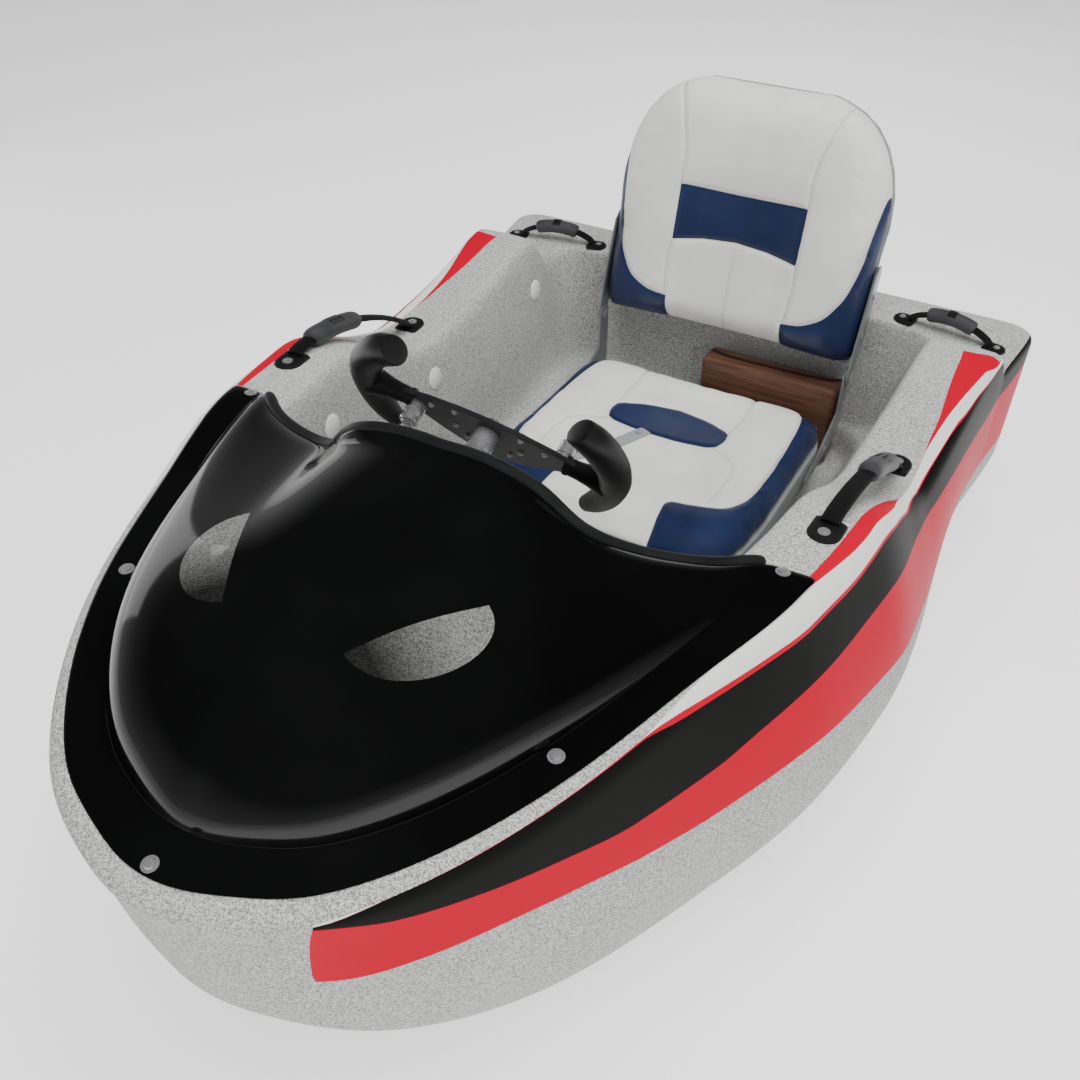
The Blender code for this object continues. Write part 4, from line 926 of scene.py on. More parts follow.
def wall_plugs():
    """Each plug is pushed out to the wall by a ray from the middle of the boat."""
    hull = bpy.data.objects["hull_skin"]
    placed = []
    for x, y, z in PLUGS:
        for side in (1, -1):
            hit, where, normal, _ = hull.ray_cast(Vector((0.0, bow(y), z)), Vector((side, 0, 0)))
            if not hit:
                where, normal = Vector((side * x, bow(y), z)), Vector((-side, 0.0, 0.12))
            placed.append((where, normal))
    plug = turned([(AXIS, -0.002), (0.0195, -0.002), (0.0195, 0.0012), (0.0180, 0.0022), (AXIS, 0.0026)])
    plugs = repeat_tree("wall plugs", False, PLUG_WHITE)
    piece("wall_plugs", repeated(plugs, plug, points_guide(placed)), None, "boat")


# Cowl


def bubble_value(column, share):
    return along([(row[0], row[column]) for row in BUBBLE], share)


def cowl_rows():
    """Half rings of the cowl's under side, each from the nose to the rear edge."""
    stations = [NOSE_END * (i / 16) ** 2 for i in range(16)]
    stations += [NOSE_END + (COWL_REAR - NOSE_END) * i / 24 for i in range(25)]
    lift = Vector((0, 0, COWL_LIFT))
    outer, inner = [], []
    for y in stations:
        hull_y = RIM_INSET + y * (HULL_LENGTH - 2 * RIM_INSET) / HULL_LENGTH
        edge = Vector((half_width(HULL_PLAN, y) * RIM_SHARE, hull_y, sheer(hull_y)))
        # The cockpit's nose lies aft of the hull's, and both are read by the same share of the way
        inner_y = COCKPIT_FRONT + (NOSE_END - COCKPIT_FRONT) * (y / NOSE_END) if y < NOSE_END else y
        lip = Vector((half_width(COCKPIT_PLAN, inner_y), inner_y, sheer(inner_y)))
        outer.append(edge.lerp(lip, FLANGE_OUTER) + lift)
        inner.append(edge.lerp(lip, FLANGE_INNER) + lift)
    rows = [[a.lerp(b, share) for a, b in zip(outer, inner)] for share in FLANGE_ROWS]
    for share in BUBBLE_ROWS:
        nose, middle, rear, forward = [bubble_value(column, share) for column in (1, 2, 3, 4)]
        half = []
        for base in inner:
            t = (base.y - inner[0].y) / (inner[-1].y - inner[0].y)
            spine = Vector((0, SPINE_FRONT + (SPINE_REAR - SPINE_FRONT) * t, base.z))
            point = base.lerp(spine, share)
            point.y -= forward * t ** 6
            point.z += along(((0.0, nose), (0.5, middle), (1.0, rear)), math.sqrt(t))
            half.append(point)
        rows.append(half)
    return [[p + Vector((0, BOW, 0)) for p in row] for row in rows]


def build_cowl_sheet(rows):
    # Across the cowl, port edge to starboard edge, one list for each station
    mesh = bmesh.new()
    grid = []
    for port in zip(*rows):
        grid.append([mesh.verts.new(p) for p in [*port, *[mirrored(p) for p in reversed(port)]]])
    for low, high in zip(grid, grid[1:]):
        for i in range(len(low) - 1):
            mesh.faces.new((low[i], low[i + 1], high[i + 1], high[i]))
    middle = len(rows)
    crown = [vert for line in grid[:-1] for vert in line[middle - CROWN_ROWS:middle + CROWN_ROWS]]
    bmesh.ops.remove_doubles(mesh, verts=mesh.verts, dist=1e-5)
    crown = [vert for vert in crown if vert.is_valid]
    for _ in range(CROWN_PASSES):
        bmesh.ops.smooth_vert(mesh, verts=crown, factor=0.5, use_axis_x=True, use_axis_y=True,
                              use_axis_z=True)
    bmesh.ops.recalc_face_normals(mesh, faces=mesh.faces)
    if sum(f.normal.z for f in mesh.faces) < 0:
        bmesh.ops.reverse_faces(mesh, faces=mesh.faces)
    wall = ("SOLIDIFY", {"thickness": COWL_THICK, "offset": 1.0, "use_even_offset": True})
    return piece("cowl_sheet", cook(mesh, wall, subdivide(1)), COWL, "boat", ["cowl"], sharp=60.0)


def build_cowl_edge(rows):
    """A bead of rubber along the cowl's rear edge."""
    port = [(row[-1], (row[-1] - row[-2]).normalized()) for row in reversed(rows[EDGE_FIRST_ROW:])]
    line = [*[(mirrored(place), mirrored(out)) for place, out in reversed(port)], *port]
    places = [place for place, _ in line]
    path = []
    for i, (place, out) in enumerate(line):
        before, after = beside(places, i)
        tangent = (after - before).normalized()
        out = (out - tangent * out.dot(tangent)).normalized()
        up = tangent.cross(out)
        up = up if up.z > 0 else -up
        path.append(place + out * EDGE_OUT + up * COWL_THICK / 2)
    inner = [a * 0.25 + b * 0.5 + c * 0.25 for a, b, c in zip(path, path[1:], path[2:])]
    ends = [0.75, *[1.0] * len(inner), 0.75]
    bead = cook(tube([path[0], *inner, path[-1]], EDGE_WIDE, EDGE_THICK, 16, ease=ends), subdivide(1))
    piece("cowl_edge_rubber", bead, EDGE_RUBBER, "boat", ["cowl_trim"])


def build_cowl():
    rows = cowl_rows()
    sheet = build_cowl_sheet(rows)
    build_cowl_edge(rows)
    found = []
    for x, y in COWL_SCREWS:
        hit, where, normal, _ = sheet.ray_cast(Vector((x, bow(y), 1.0)), Vector((0, 0, -1)))
        if hit:
            found.append((where + normal * 0.0002, normal))
    screws("cowl_screws", 0.0060, found)


# Steering


def yoke_matrix():
    """The yoke's frame: X across, Y up, Z forward and down along the column, from the part's own values."""
    tilt, rest = math.radians(YOKE_TILT), math.radians(YOKE_REST)
    up = Vector((0, -math.sin(tilt), math.cos(tilt)))
    basis = Matrix((Vector((1, 0, 0)), up, Vector((1, 0, 0)).cross(up))).transposed().to_4x4()
    return Matrix.Translation((0, bow(YOKE_STATION), YOKE_HEIGHT)) @ basis @ Matrix.Rotation(rest, 4, "Z")


def grip_rings():
    """Rings of the port grip, from its upper end to its lower one."""
    line = smooth_rows(GRIP_HORN, GRIP_RINGS)
    centres = [row.xyz for row in line]
    forward = Vector((0, 0, 1))
    rings = []
    for i, centre in enumerate(centres):
        before, after = beside(centres, i)
        tangent = (after - before).normalized()
        out = tangent.cross(forward).normalized()
        slant = SLANT * max(0.0, 1 - i / SLANT_RINGS)
        radius = line[i][3]
        rings.append([centre + radius * (out * math.cos(a) + forward * math.sin(a) * GRIP_FLAT)
                      - tangent * slant * (1 + math.cos(a)) for a in turns(GRIP_SIDES)])
    # Both ends are rounded
    ends = []
    for ring, away in ((rings[0], centres[0] - centres[1]), (rings[-1], centres[-1] - centres[-2])):
        middle = sum(ring, Vector()) / len(ring)
        ends.append([[middle + (p - middle) * share + away.normalized() * lift for p in ring]
                     for share, lift in ((0.90, 0.0016), (0.72, 0.0024), (0.40, 0.0030), (0.12, 0.0032))])
    return [*reversed(ends[0]), *rings, *ends[1]]


def build_grips(frame_matrix):
    rings = grip_rings()
    # A collar at the plate, a cone and a rolled edge at the grip
    profile = [(AXIS, 0.0), (0.0115, 0.0), (0.0125, 0.001), (0.0125, 0.006), (0.0112, 0.0075),
               (0.0118, 0.020), (0.0135, 0.034), (0.0165, 0.048), (0.0190, 0.058), (0.0180, 0.064),
               (AXIS, 0.066)]
    for side, word in ((1, "port"), (-1, "starboard")):
        horn = loft([[Vector((side * p.x, p.y, p.z)) for p in ring] for ring in rings])
        turn = Matrix.Rotation(side * math.pi / 2, 4, "Y")
        arm = move(turned(profile, GRIP_SIDES), Matrix.Translation((side * ARM_START, 0, 0.003)) @ turn)
        whole = move(together(cook(horn, subdivide(1)), arm), frame_matrix)
        piece(f"grip_{word}_rubber", whole, GRIP_RUBBER, "yoke", [f"grip_{word}"])


def build_buttons(frame_matrix):
    """Push buttons: a threaded body with a ring nut, and a domed cap."""
    for side, word, face, turn in ((-1, "starboard", 0.0063, 0.0), (1, "port", -0.0003, math.pi)):
        body = turned([(AXIS, 0.0), (0.0124, 0.0), (0.0124, 0.004), (0.0110, 0.005), (0.0110, 0.009),
                       (0.0126, 0.0100), (0.0126, 0.0165), (0.0118, 0.0175), (0.0118, 0.0205),
                       (0.0125, 0.0215), (0.0125, 0.0265), (0.0115, 0.0277),
                       (0.0095, 0.0277), (0.0095, 0.0262)], 36)
        cap = turned([(AXIS, 0.0250), (0.0090, 0.0250), (0.0090, 0.0292), (0.0080, 0.0306), (AXIS, 0.0313)])
        place = Matrix.Translation((side * BUTTON_PLACE[0], BUTTON_PLACE[1], face))
        whole = move(together(body, cap), frame_matrix @ place @ Matrix.Rotation(turn, 4, "X"))
        piece(f"button_{word}_steel", whole, POLISHED, "yoke", [f"button_{word}"])


def build_steering():
    frame_matrix = yoke_matrix()
    build_grips(frame_matrix)
    build_buttons(frame_matrix)
    outline = [*PLATE_OUTLINE, *[(-x, y) for x, y in reversed(PLATE_OUTLINE[1:])]]
    rings = [[frame_matrix @ Vector((x * share, y * share, z)) for x, y in outline]
             for share, z in ((0.985, -0.0003), (1.0, 0.0006), (1.0, 0.0054), (0.985, 0.0063))]
    piece("yoke_plate_black", loft(rings), COATED_BLACK, "yoke", ["yoke_plate"])
    rows = [(frame_matrix @ Vector((side * x, y, z)), frame_matrix.to_3x3() @ Vector((0, 0, way)))
            for x, y in PLATE_SCREWS for side in (1, -1) for z, way in ((-0.0001, -1), (0.0061, 1))]
    screws("yoke_screws", 0.0028, rows, "yoke")
    edged("steering_shaft", "shaft_steel", POLISHED, 0.0006, angle=35.0, body="yoke")
    edged("column_housing", "housing_aluminium", ALUMINIUM, 0.0012, angle=35.0)
    edged("steering_post", "post_black", COATED_BLACK, 0.0025, angle=35.0)
    rows = [(Vector((x, bow(POST_STATION) + y, FLOOR_Z + 0.0084)), Vector((0, 0, 1)))
            for x in (-0.042, 0.042) for y in (-0.042, 0.042)]
    screws("post_screws", 0.0048, rows)


# Seat


def both_sides(line):
    return [list(line), [(-x, y) for x, y in line]]


def distance_to(lines, across, lengthwise):
    """The shortest distance from each point to any of the lines, in the plane of a cushion."""
    best = np.full(len(across), 9.0)
    for line in lines:
        for (ax, ay), (bx, by) in zip(line, line[1:]):
            dx, dy = bx - ax, by - ay
            t = np.clip(((across - ax) * dx + (lengthwise - ay) * dy) / (dx * dx + dy * dy + 1e-12), 0, 1)
            best = np.minimum(best, np.hypot(across - ax - t * dx, lengthwise - ay - t * dy))
    return best


def rounded_line(line, passes=2):
    """Cuts the corners of a line a little."""
    for _ in range(passes):
        new = [line[0]]
        for (ax, ay), (bx, by) in zip(line, line[1:]):
            new += [(ax * 0.8 + bx * 0.2, ay * 0.8 + by * 0.2), (ax * 0.2 + bx * 0.8, ay * 0.2 + by * 0.8)]
        line = [*new, line[-1]]
    return line


def inside_loop(loop, across, lengthwise):
    inside = np.zeros(len(across), bool)
    for (ax, ay), (bx, by) in zip(loop, loop[1:] + loop[:1]):
        crosses = (ay > lengthwise) != (by > lengthwise)
        at = ax + (lengthwise - ay) * (bx - ax) / (by - ay + 1e-12)
        inside ^= crosses & (across < at)
    return inside


def puffed(mesh):
    """A padded form from a closed mesh: remeshed, swelled by pressure, and held to a cap of movement."""
    source = cook(mesh, ("REMESH", {"mode": "VOXEL", "voxel_size": PAD_VOXEL}),
                  ("SMOOTH", {"factor": 0.5, "iterations": PAD_EASING}))
    rest = points_of(source)
    start = rest - normals_of(source) * PAD_SHRINK
    move_points(source, start)
    obj = bpy.data.objects.new("padding", source)
    bpy.context.scene.collection.objects.link(obj)
    cloth = obj.modifiers.new("swell", "CLOTH")
    cloth.settings.quality = 6
    cloth.settings.mass = 0.3
    cloth.settings.use_pressure = True
    cloth.settings.uniform_pressure_force = PAD_PRESSURE
    cloth.settings.tension_stiffness = 40.0
    cloth.settings.compression_stiffness = 40.0
    cloth.settings.bending_stiffness = 1.2
    cloth.settings.effector_weights.gravity = 0.0
    cloth.point_cache.frame_start, cloth.point_cache.frame_end = 1, PAD_FRAMES
    scene = bpy.context.scene
    for step in range(1, PAD_FRAMES + 1):
        scene.frame_set(step)
    made = bpy.data.meshes.new_from_object(obj.evaluated_get(bpy.context.evaluated_depsgraph_get()))
    bpy.data.objects.remove(obj)
    scene.frame_set(1)
    moved = points_of(made) - start
    length = np.linalg.norm(moved, axis=1, keepdims=True)
    held = start + moved * np.minimum(1.0, PAD_CAP / np.maximum(length, 1e-9))
    # Brought back to the plain cushion's own size, and a little over it
    low, high = held.min(0), held.max(0)
    want_low, want_high = rest.min(0) - PAD_OVER, rest.max(0) + PAD_OVER
    held = want_low + (held - low) * (want_high - want_low) / (high - low)
    move_points(made, held)
    return cook(made, ("SMOOTH", {"factor": 0.5, "iterations": 2}), subdivide(1))


def stitched(name, lines, body):
    """Stitches beside a seam: each is a short thread laid on the surface."""
    thread = tube([(-0.0017, 0, 0), (-0.0012, 0, 0.0004), (0.0012, 0, 0.0004), (0.0017, 0, 0)],
                  0.00042, sides=6, ease=[0.5, 1.0, 1.0, 0.5])
    piece(name, repeated(STITCHES, thread, line_guide(lines), STITCH_PITCH), None, body)


def laid_lines(obj, lines, place_of, down, lift=0.0004):
    """Lines in a cushion's plane, laid on its surface by rays."""
    laid = []
    for line in lines:
        fine = []
        for (ax, ay), (bx, by) in zip(line, line[1:]):
            count = max(int(math.hypot(bx - ax, by - ay) / 0.006), 1)
            fine += [(ax + (bx - ax) * i / count, ay + (by - ay) * i / count) for i in range(count)]
        fine.append(line[-1])
        found = []
        for x, y in fine:
            hit, where, normal, _ = obj.ray_cast(place_of(x, y), down)
            if hit:
                found.append(where + normal * lift)
        if len(found) > 2:
            laid.append(found)
    return laid


def shifted(line, offset):
    """A line moved sideways in its plane."""
    made = []
    for i, (x, y) in enumerate(line):
        (ax, ay), (bx, by) = beside(line, i)
        length = math.hypot(bx - ax, by - ay) or 1.0
        made.append((x - (by - ay) / length * offset, y + (bx - ax) / length * offset))
    return made


def groove(mesh, top, distance, normals, depth, width=SEAM_WIDTH):
    """A seam pressed into the faces that top marks."""
    push = depth * np.exp(-(distance / width) ** 2) * top
    move_points(mesh, points_of(mesh) - normals * push[:, None])


def normals_of(mesh):
    found = np.empty(len(mesh.vertices) * 3, np.float32)
    mesh.vertices.foreach_get("normal", found)
    return found.reshape(-1, 3).astype(float)


def closed(line):
    """A loop of a port half that starts and ends in the middle."""
    return [*line, *[(-x, y) for x, y in reversed(line[1:-1])]]


def build_seat_cushion():
    made = puffed(cook(cad_copy("seat_cushion"), ("TRIANGULATE", {})))
    x, y, _ = points_of(made).T
    station = y - BOW
    normals = normals_of(made)
    top = np.clip((normals[:, 2] - 0.05) / 0.3, 0, 1)
    field = rounded_line(SEAT_FIELD)
    inset = rounded_line(SEAT_INSET, 1)
    edge_lines = both_sides(field) + both_sides(inset)
    seams = edge_lines + both_sides(SEAT_REAR_SEAM) + both_sides(rounded_line(SEAT_BOLSTER_SEAM))
    distance = distance_to(seams, x, station)
    groove(made, top, distance, normals, 0.0035)
    in_inset = inside_loop(closed(inset), x, station)
    white = closed([(0.0, 0.90), (0.108, 0.90), *field, (0.180, 1.6), (0.0, 1.6)])
    edges = distance_to(edge_lines, x, station)
    navy = np.where(in_inset | ~inside_loop(white, x, station), edges, -edges)
    navy = np.where((station > SEAT_WHITE_REAR) & ~in_inset, -np.abs(edges), navy)
    set_values(made, "navy", navy)
    set_values(made, "seam", np.where(top > 0.05, distance, NO_SEAM))
    obj = piece("seat_cushion_vinyl", made, VINYL, "boat", ["seat_cushion"], sharp=180.0)
    lines = [shifted(line, 0.004 * sign) for line, sign in zip(both_sides(SEAT_REAR_SEAM), (1, -1))]
    lines = laid_lines(obj, lines, lambda u, v: Vector((u, bow(v), 0.6)), Vector((0, 0, -1)))
    stitched("seat_stitches", lines, "boat")
    return obj


def back_frame():
    lean = math.radians(BACK_LEAN)
    return Matrix.Translation((0, bow(HINGE_Y), HINGE_Z)) @ Matrix.Rotation(math.pi / 2 - lean, 4, "X")


def build_back_cushion():
    frame_matrix = back_frame()
    inverse = np.array(frame_matrix.inverted())
    made = puffed(cook(cad_copy("back_cushion"), ("TRIANGULATE", {})))
    points = points_of(made)
    local = points @ inverse[:3, :3].T + inverse[:3, 3]
    # Its stuffing sags a little towards the hinge
    sag = CUSHION_SAG * np.clip(1 - local[:, 1] / SAG_REACH, 0, 1)
    points -= sag[:, None] * np.array(frame_matrix.to_3x3() @ Vector((0, 1, 0)))
    move_points(made, points)
    x, up = local[:, 0], local[:, 1] - sag
    normals = normals_of(made)
    facing = (normals @ inverse[:3, :3].T)[:, 2]
    top = np.clip((facing - 0.05) / 0.3, 0, 1)
    field = rounded_line(BACK_FIELD)
    edge_lines = both_sides(field) + both_sides(BACK_RECT)
    seams = edge_lines + both_sides(BACK_PANEL) + both_sides(rounded_line(BACK_CORNER_SEAM))
    distance = distance_to(seams, x, up)
    groove(made, top, distance, normals, 0.0032)
    middle = distance_to([BACK_MIDDLE_SEAM], x, up)
    groove(made, top, middle, normals, 0.0018, 0.003)
    in_rect = inside_loop(closed(BACK_RECT), x, up)
    white = closed([(0.0, 0.0), (0.116, 0.0), *field, (0.30, BACK_NAVY_TOP), (0.30, 0.8), (0.0, 0.8)])
    edges = distance_to(edge_lines + both_sides([(0.116, 0.0), (0.116, 0.076)]), x, up)
    set_values(made, "navy", np.where(in_rect | ~inside_loop(white, x, up), edges, -edges))
    set_values(made, "seam", np.where(top > 0.05, np.minimum(distance, middle + 0.001), NO_SEAM))
    obj = piece("back_cushion_vinyl", made, VINYL, "back", ["back_cushion"], sharp=180.0)
    out = frame_matrix.to_3x3() @ Vector((0, 0, -1))
    lines = [[(s, 0.05), (s, 0.195)] for s in (-0.0045, 0.0045)]
    lines = laid_lines(obj, lines, lambda u, v: frame_matrix @ Vector((u, v, 0.3)), out)
    stitched("back_stitches", lines, "back")


def build_seat_frame():
    for name, body, material, slot, width in (
            ("seat_pan", "boat", SHELL, "shell", 0.004), ("back_shell", "back", SHELL, "shell", 0.003),
            ("seat_bracket_port", "boat", ALUMINIUM, "aluminium", 0.0008),
            ("seat_bracket_starboard", "boat", ALUMINIUM, "aluminium", 0.0008),
            ("back_arm_port", "back", ALUMINIUM, "aluminium", 0.0008),
            ("back_arm_starboard", "back", ALUMINIUM, "aluminium", 0.0008),
            ("hinge_pin_port", "boat", STEEL, "steel", 0.0008),
            ("hinge_pin_starboard", "boat", STEEL, "steel", 0.0008)):
        edged(name, f"{name}_finished", material, width, 3, body=body)
    frame_matrix = back_frame()
    arm_rows, bracket_rows = [], []
    for side, word in ((1, "port"), (-1, "starboard")):
        inwards = Vector((-side, 0, 0))
        arm = bpy.data.objects[f"back_arm_{word}_finished"]
        for up, forward in ((0.080, -0.006), (0.150, -0.024)):
            hit, place, normal, _ = arm.ray_cast(frame_matrix @ Vector((side * 0.5, up, forward)), inwards)
            if hit:
                arm_rows.append((place, normal))
        bracket = bpy.data.objects[f"seat_bracket_{word}_finished"]
        for y in (1.38, 1.44):
            hit, place, normal, _ = bracket.ray_cast(Vector((side * 0.5, bow(y), 0.150)), inwards)
            if hit and abs(normal.x) > 0.9:
                bracket_rows.append((place, normal))
    screws("arm_screws", 0.0045, arm_rows, "back")
    screws("bracket_screws", 0.0045, bracket_rows)
    # Stiffening ribs moulded on the shell's back
    ribs = []
    for x, top in SHELL_RIBS:
        line = [(x, RIB_FOOT + (top - RIB_FOOT) * i / 12, SHELL_REAR) for i in range(13)]
        ribs.append(tube(line, 0.0065, 0.0034, 12, ease=[0.3, 0.8, *[1.0] * 9, 0.8, 0.3]))
    piece("shell_ribs", cook(move(together(*ribs), frame_matrix), subdivide(1)), SHELL, "back")


def build_strap(cushion):
    """The fold strap: grey webbing with a snap, lying on the seat cushion."""
    down = Vector((0, 0, -1))
    fine = smooth_rows(STRAP_ROUTE, 26)
    rings = []
    for i, (x, y) in enumerate(fine):
        before, after = beside(fine, i)
        way = (after - before).normalized()
        row = []
        for share in (-1.0, -0.5, 0.0, 0.5, 1.0):
            spot = Vector((x, bow(y), 0)) + Vector((-way.y, way.x, 0)) * STRAP_HALF * share
            _, where, _, _ = cushion.ray_cast(Vector((spot.x, spot.y, 0.6)), down)
            row.append(Vector((spot.x, spot.y, where.z)))
        level = max(p.z for p in row)
        row = [Vector((p.x, p.y, level * 0.6 + p.z * 0.4 + 0.0008)) for p in row]
        rings.append([*row, *[p + Vector((0, 0, STRAP_THICK)) for p in reversed(row)]])
    band = cook(loft(rings), subdivide(1))
    piece("fold_strap_webbing", band, GREY_WEBBING, "boat", ["tie_strap"])
    x, y = fine[-4]
    _, where, _, _ = cushion.ray_cast(Vector((x, bow(y), 0.6)), down)
    snap = turned([(AXIS, 0.0), (0.0062, 0.0), (0.0062, 0.0008), (0.0048, 0.0018), (0.0026, 0.0018),
                   (0.0022, 0.0010), (AXIS, 0.0008)], 24)
    snap = move(snap, Matrix.Translation(where + Vector((0, 0, STRAP_THICK + 0.001))))
    piece("fold_strap_snap", snap, STEEL, "boat")


def build_case():
    """The brown case behind the seat, with a dark band over its lid, and the base under the seat."""
    low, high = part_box("battery_case")
    form = cad_copy("battery_case")
    for vert in form.verts:
        if vert.co.z > (low.z + high.z) / 2:
            vert.co.z -= CASE_DROP
    high = high - Vector((0, 0, CASE_DROP))
    piece("case_wood", cook(form, bevel(0.006, 3, 30.0)), WOOD, "boat", ["battery_case"])
    rise = 0.0012
    middle = (low.y + high.y) / 2
    path = [(low.x + 0.010, middle + 0.006, high.z + rise), (low.x + 0.060, middle - 0.002, high.z + rise),
            (high.x - 0.080, middle + 0.002, high.z + rise), (high.x - 0.030, middle + 0.008, high.z + rise),
            (high.x - 0.006, middle + 0.020, high.z + rise * 0.4)]
    piece("case_band", tube(smooth_rows(path, 40), 0.0046, 0.0012, 12), CASE_BAND, "boat")
    edged("seat_base", "seat_base_wood", WOOD, 0.003)


# Handles


def handle_ends():
    """Each handle's name, the places of its two pads on the gunwale, its rise and its pads' half size."""
    made = {}
    for side, word in ((1, "port"), (-1, "starboard")):
        spots = []
        for y in FRONT_PADS:
            x = (half_width(HULL_PLAN, y) + half_width(COCKPIT_PLAN, y)) / 2
            spots.append(Vector((side * x, bow(y), sheer(y))))
        made[f"front_handle_{word}"] = (spots, 0.034, 0.024)
        spots = [Vector((side * x, bow(COCKPIT_REAR + aft), sheer(HULL_LENGTH))) for x, aft in REAR_PADS]
        made[f"rear_handle_{word}"] = (spots, 0.0238, 0.019)
    return made


def handle_pad(half):
    """A pad with a square inner end and a round outer end."""
    corners = ((-0.86, -0.82), (-0.98, -0.6), (-0.98, 0.6), (-0.86, 0.82))
    outline = [(half * x, half * y) for x, y in corners]
    outline += [(half * 0.2 + half * 0.84 * math.cos(a), half * 0.84 * math.sin(a))
                for a in (math.pi / 2 - math.pi * i / 12 for i in range(13))]
    rings = [[(x * share, y * share, PAD_THICK * level) for x, y in outline]
             for share, level in ((1.0, 0.0), (1.02, 0.35), (0.97, 0.8), (0.88, 1.0), (0.60, 1.04))]
    return loft(rings)


def sleeve_slots(name, grip, across, radius):
    """Five short slots on each side of a sleeve's crown, each a raised near-black bar whose colour is
    painted shade, standing for the shade inside a slot.
    """
    count = len(grip)
    middle = count // 2
    rows = []
    for k in range(-2, 3):
        end = middle + 2 if k > 0 else middle - 2
        at = grip[middle].lerp(grip[min(max(end, 0), count - 1)], abs(k) * 0.5)
        for turn in (-1, 1):
            out = (Vector((0, 0, 1)) * 0.9 + across * turn * 0.55).normalized()
            rows.append((at + out * radius * 0.89, out))
    slot = tube([(-0.0058, 0, 0), (-0.0048, 0, 0), (0.0048, 0, 0), (0.0058, 0, 0)], 0.0013, 0.0009, 8,
                ease=[0.4, 1.0, 1.0, 0.4])
    slot = move(slot, Matrix.Rotation(math.atan2(across.y, across.x), 4, "Z"))
    piece(name, repeated(SLOTS, slot, points_guide(rows)), None, "boat")


def build_handles():
    for name, (ends, rise, half) in handle_ends().items():
        first, second = ends
        front = name.startswith("front")
        points = []
        for t in (i / HANDLE_STEPS for i in range(HANDLE_STEPS + 1)):
            place = first.lerp(second, t)
            place.z += HANDLE_LIFT + rise * math.sin(math.pi * t) ** 0.7
            points.append(place)
        direction = Vector((second.x - first.x, second.y - first.y, 0)).normalized()
        wide, thick = (0.0125, 0.0046) if front else (0.0105, 0.0042)
        piece(f"{name}_webbing", tube(points, wide, thick), WEBBING, "boat", [name])
        pads = []
        rows = []
        for place, out in ((first, -direction), (second, direction)):
            middle = place + out * half * 0.5 + Vector((0, 0, 0.0002))
            turn = Matrix.Rotation(math.atan2(out.y, out.x), 4, "Z")
            pads.append(move(handle_pad(half * 1.05), Matrix.Translation(middle) @ turn))
            rows.append((middle + out * half * 0.25 + Vector((0, 0, 0.0072)), Vector((0, 0, 1))))
        piece(f"{name}_pads", cook(together(*pads), bevel(0.0008, 2, 40.0)), HANDLE_RUBBER, "boat")
        # The sleeve sits aft on the port handle and forward on the starboard one
        low, high = (0.46, 0.86) if front else (0.22, 0.80)
        if front and first.x < 0:
            low, high = 1 - high, 1 - low
        grip = points[int(low * HANDLE_STEPS):int(high * HANDLE_STEPS) + 1]
        ease = [0.80, 0.94, *[1.0] * (len(grip) - 4), 0.94, 0.80]
        radius = 0.0168 if front else 0.0150
        sleeve = cook(tube(grip, radius, radius * 0.86, 24, ease=ease), subdivide(1))
        piece(f"{name}_sleeve", sleeve, SLEEVE_RUBBER, "boat")
        sleeve_slots(f"{name}_slots", grip, direction.cross(Vector((0, 0, 1))).normalized(), radius)
        screws(f"{name}_screws", 0.0052 if front else 0.0040, rows)


# Drive


def build_drive():
    for name, body, material, slot, width in (
            ("drive_bracket", "boat", ALUMINIUM, "aluminium", 0.0015),
            ("drive_leg", "drive", ALUMINIUM, "aluminium", 0.001),
            ("motor_pod", "drive", COATED_BLACK, "black", 0.004),
            ("prop_guard", "drive", COATED_BLACK, "black", 0.001),
            ("propeller", "propeller", PROP_BLACK, "black", 0.0009),
            ("drain_plug", "boat", COATED_BLACK, "black", 0.0015)):
        edged(name, f"{name}_finished", material, width, body=body)
    plate_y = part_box("drive_bracket")[0].y + 0.0082
    rows = [(Vector((x, plate_y, z)), Vector((0, 1, 0))) for x in (-0.046, 0.046) for z in (0.195, 0.285)]
    screws("bracket_bolts", 0.0058, rows)


# Room, light and camera


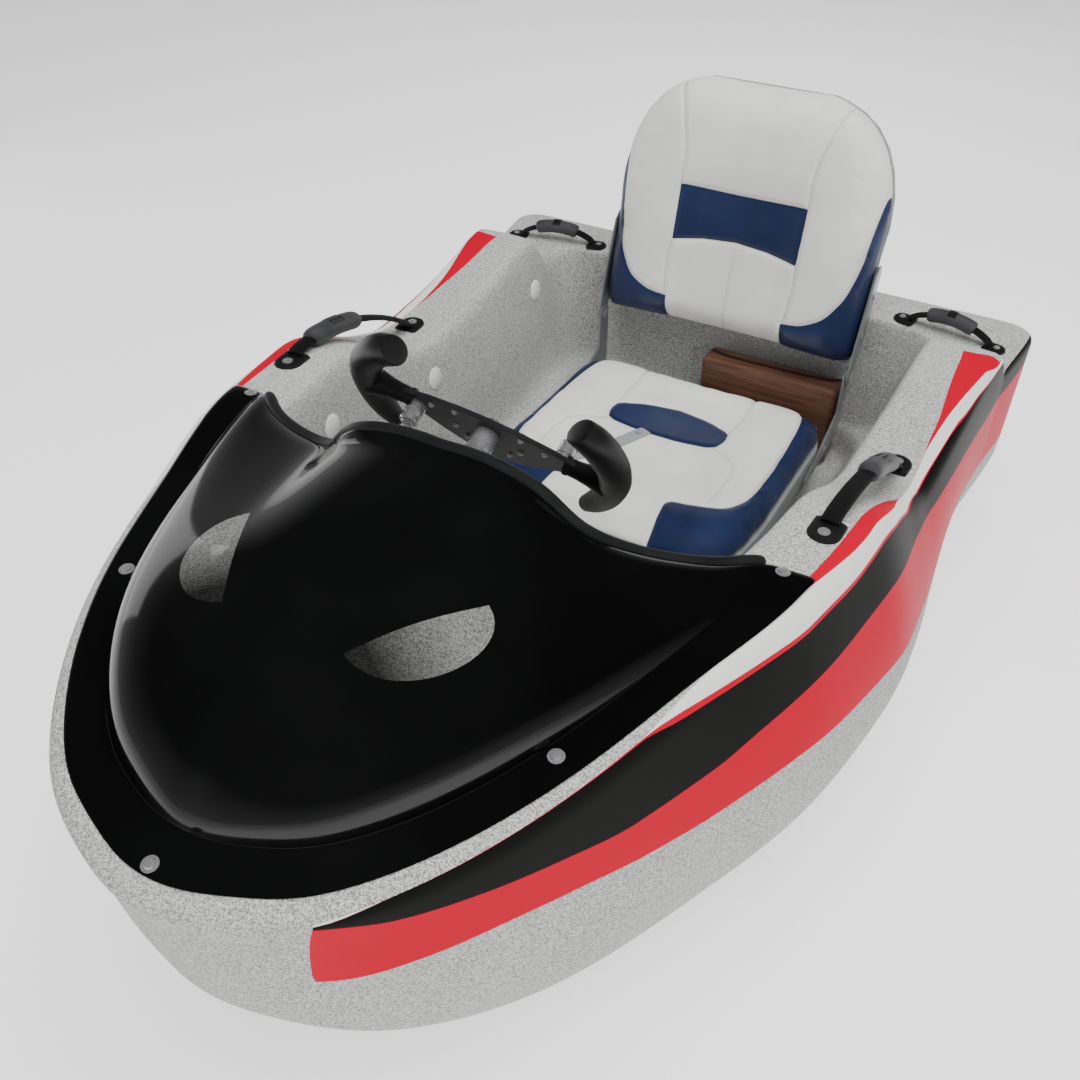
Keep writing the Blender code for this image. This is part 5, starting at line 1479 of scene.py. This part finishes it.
def build_stage():
    floor_mesh = bmesh.new()
    bmesh.ops.create_grid(floor_mesh, x_segments=1, y_segments=1, size=14.0)
    made, _, shader, _ = new_finish("pale floor", (0.95, 0.95, 0.95), 0.8)
    shader.inputs["Emission Color"].default_value = (1.0, 1.0, 1.0, 1.0)
    shader.inputs["Emission Strength"].default_value = 0.8
    obj = bpy.data.objects.new("floor", to_mesh(floor_mesh))
    obj.data.materials.append(made)
    bpy.context.scene.collection.objects.link(obj)
    world = bpy.data.worlds.new("studio")
    world.use_nodes = True
    tree = world.node_tree
    # Bright round the horizon and dark overhead, so that the cowl stays black on top
    direction = tree.nodes.new("ShaderNodeTexCoord").outputs["Generated"]
    height = node(tree, "ShaderNodeSeparateXYZ", Vector=direction).outputs[2]
    level = ramp(tree, height, 0.02, 0.42, 0.45, 0.03)
    sky = node(tree, "ShaderNodeCombineColor", Red=level, Green=level, Blue=level)
    tree.links.new(sky.outputs[0], tree.nodes["Background"].inputs[0])
    tree.nodes["Background"].inputs[1].default_value = 1.0
    bpy.context.scene.world = world
    for name, place, aim, width, height, power, in_gloss in LAMPS:
        lamp = bpy.data.lights.new(name, "AREA")
        lamp.shape = "RECTANGLE"
        lamp.size, lamp.size_y = width, height
        lamp.energy = power
        obj = bpy.data.objects.new(name, lamp)
        bpy.context.scene.collection.objects.link(obj)
        obj.visible_glossy = in_gloss
        obj.location = place
        obj.rotation_mode = "QUATERNION"
        obj.rotation_quaternion = (Vector(aim) - Vector(place)).to_track_quat("-Z", "Y")


def build_camera():
    pitch, turn = math.radians(CAMERA_PITCH), math.radians(CAMERA_TURN)
    ahead = Vector((-math.sin(turn) * math.cos(pitch), math.cos(turn) * math.cos(pitch), -math.sin(pitch)))
    right = Vector((math.cos(turn), math.sin(turn), 0.0))
    up = right.cross(ahead)
    camera = bpy.data.cameras.new("camera")
    camera.lens = CAMERA_LENS
    camera.sensor_width = 36.0
    obj = bpy.data.objects.new("camera", camera)
    bpy.context.scene.collection.objects.link(obj)
    turned_to = Matrix((right, up, -ahead)).transposed().to_4x4()
    obj.matrix_world = Matrix.Translation(CAMERA_PLACE) @ turned_to
    bpy.context.scene.camera = obj


build_hull()
wall_plugs()
build_cowl()
build_steering()
seat_cushion = build_seat_cushion()
build_back_cushion()
build_seat_frame()
build_strap(seat_cushion)
build_case()
build_handles()
build_drive()
build_stage()
build_camera()
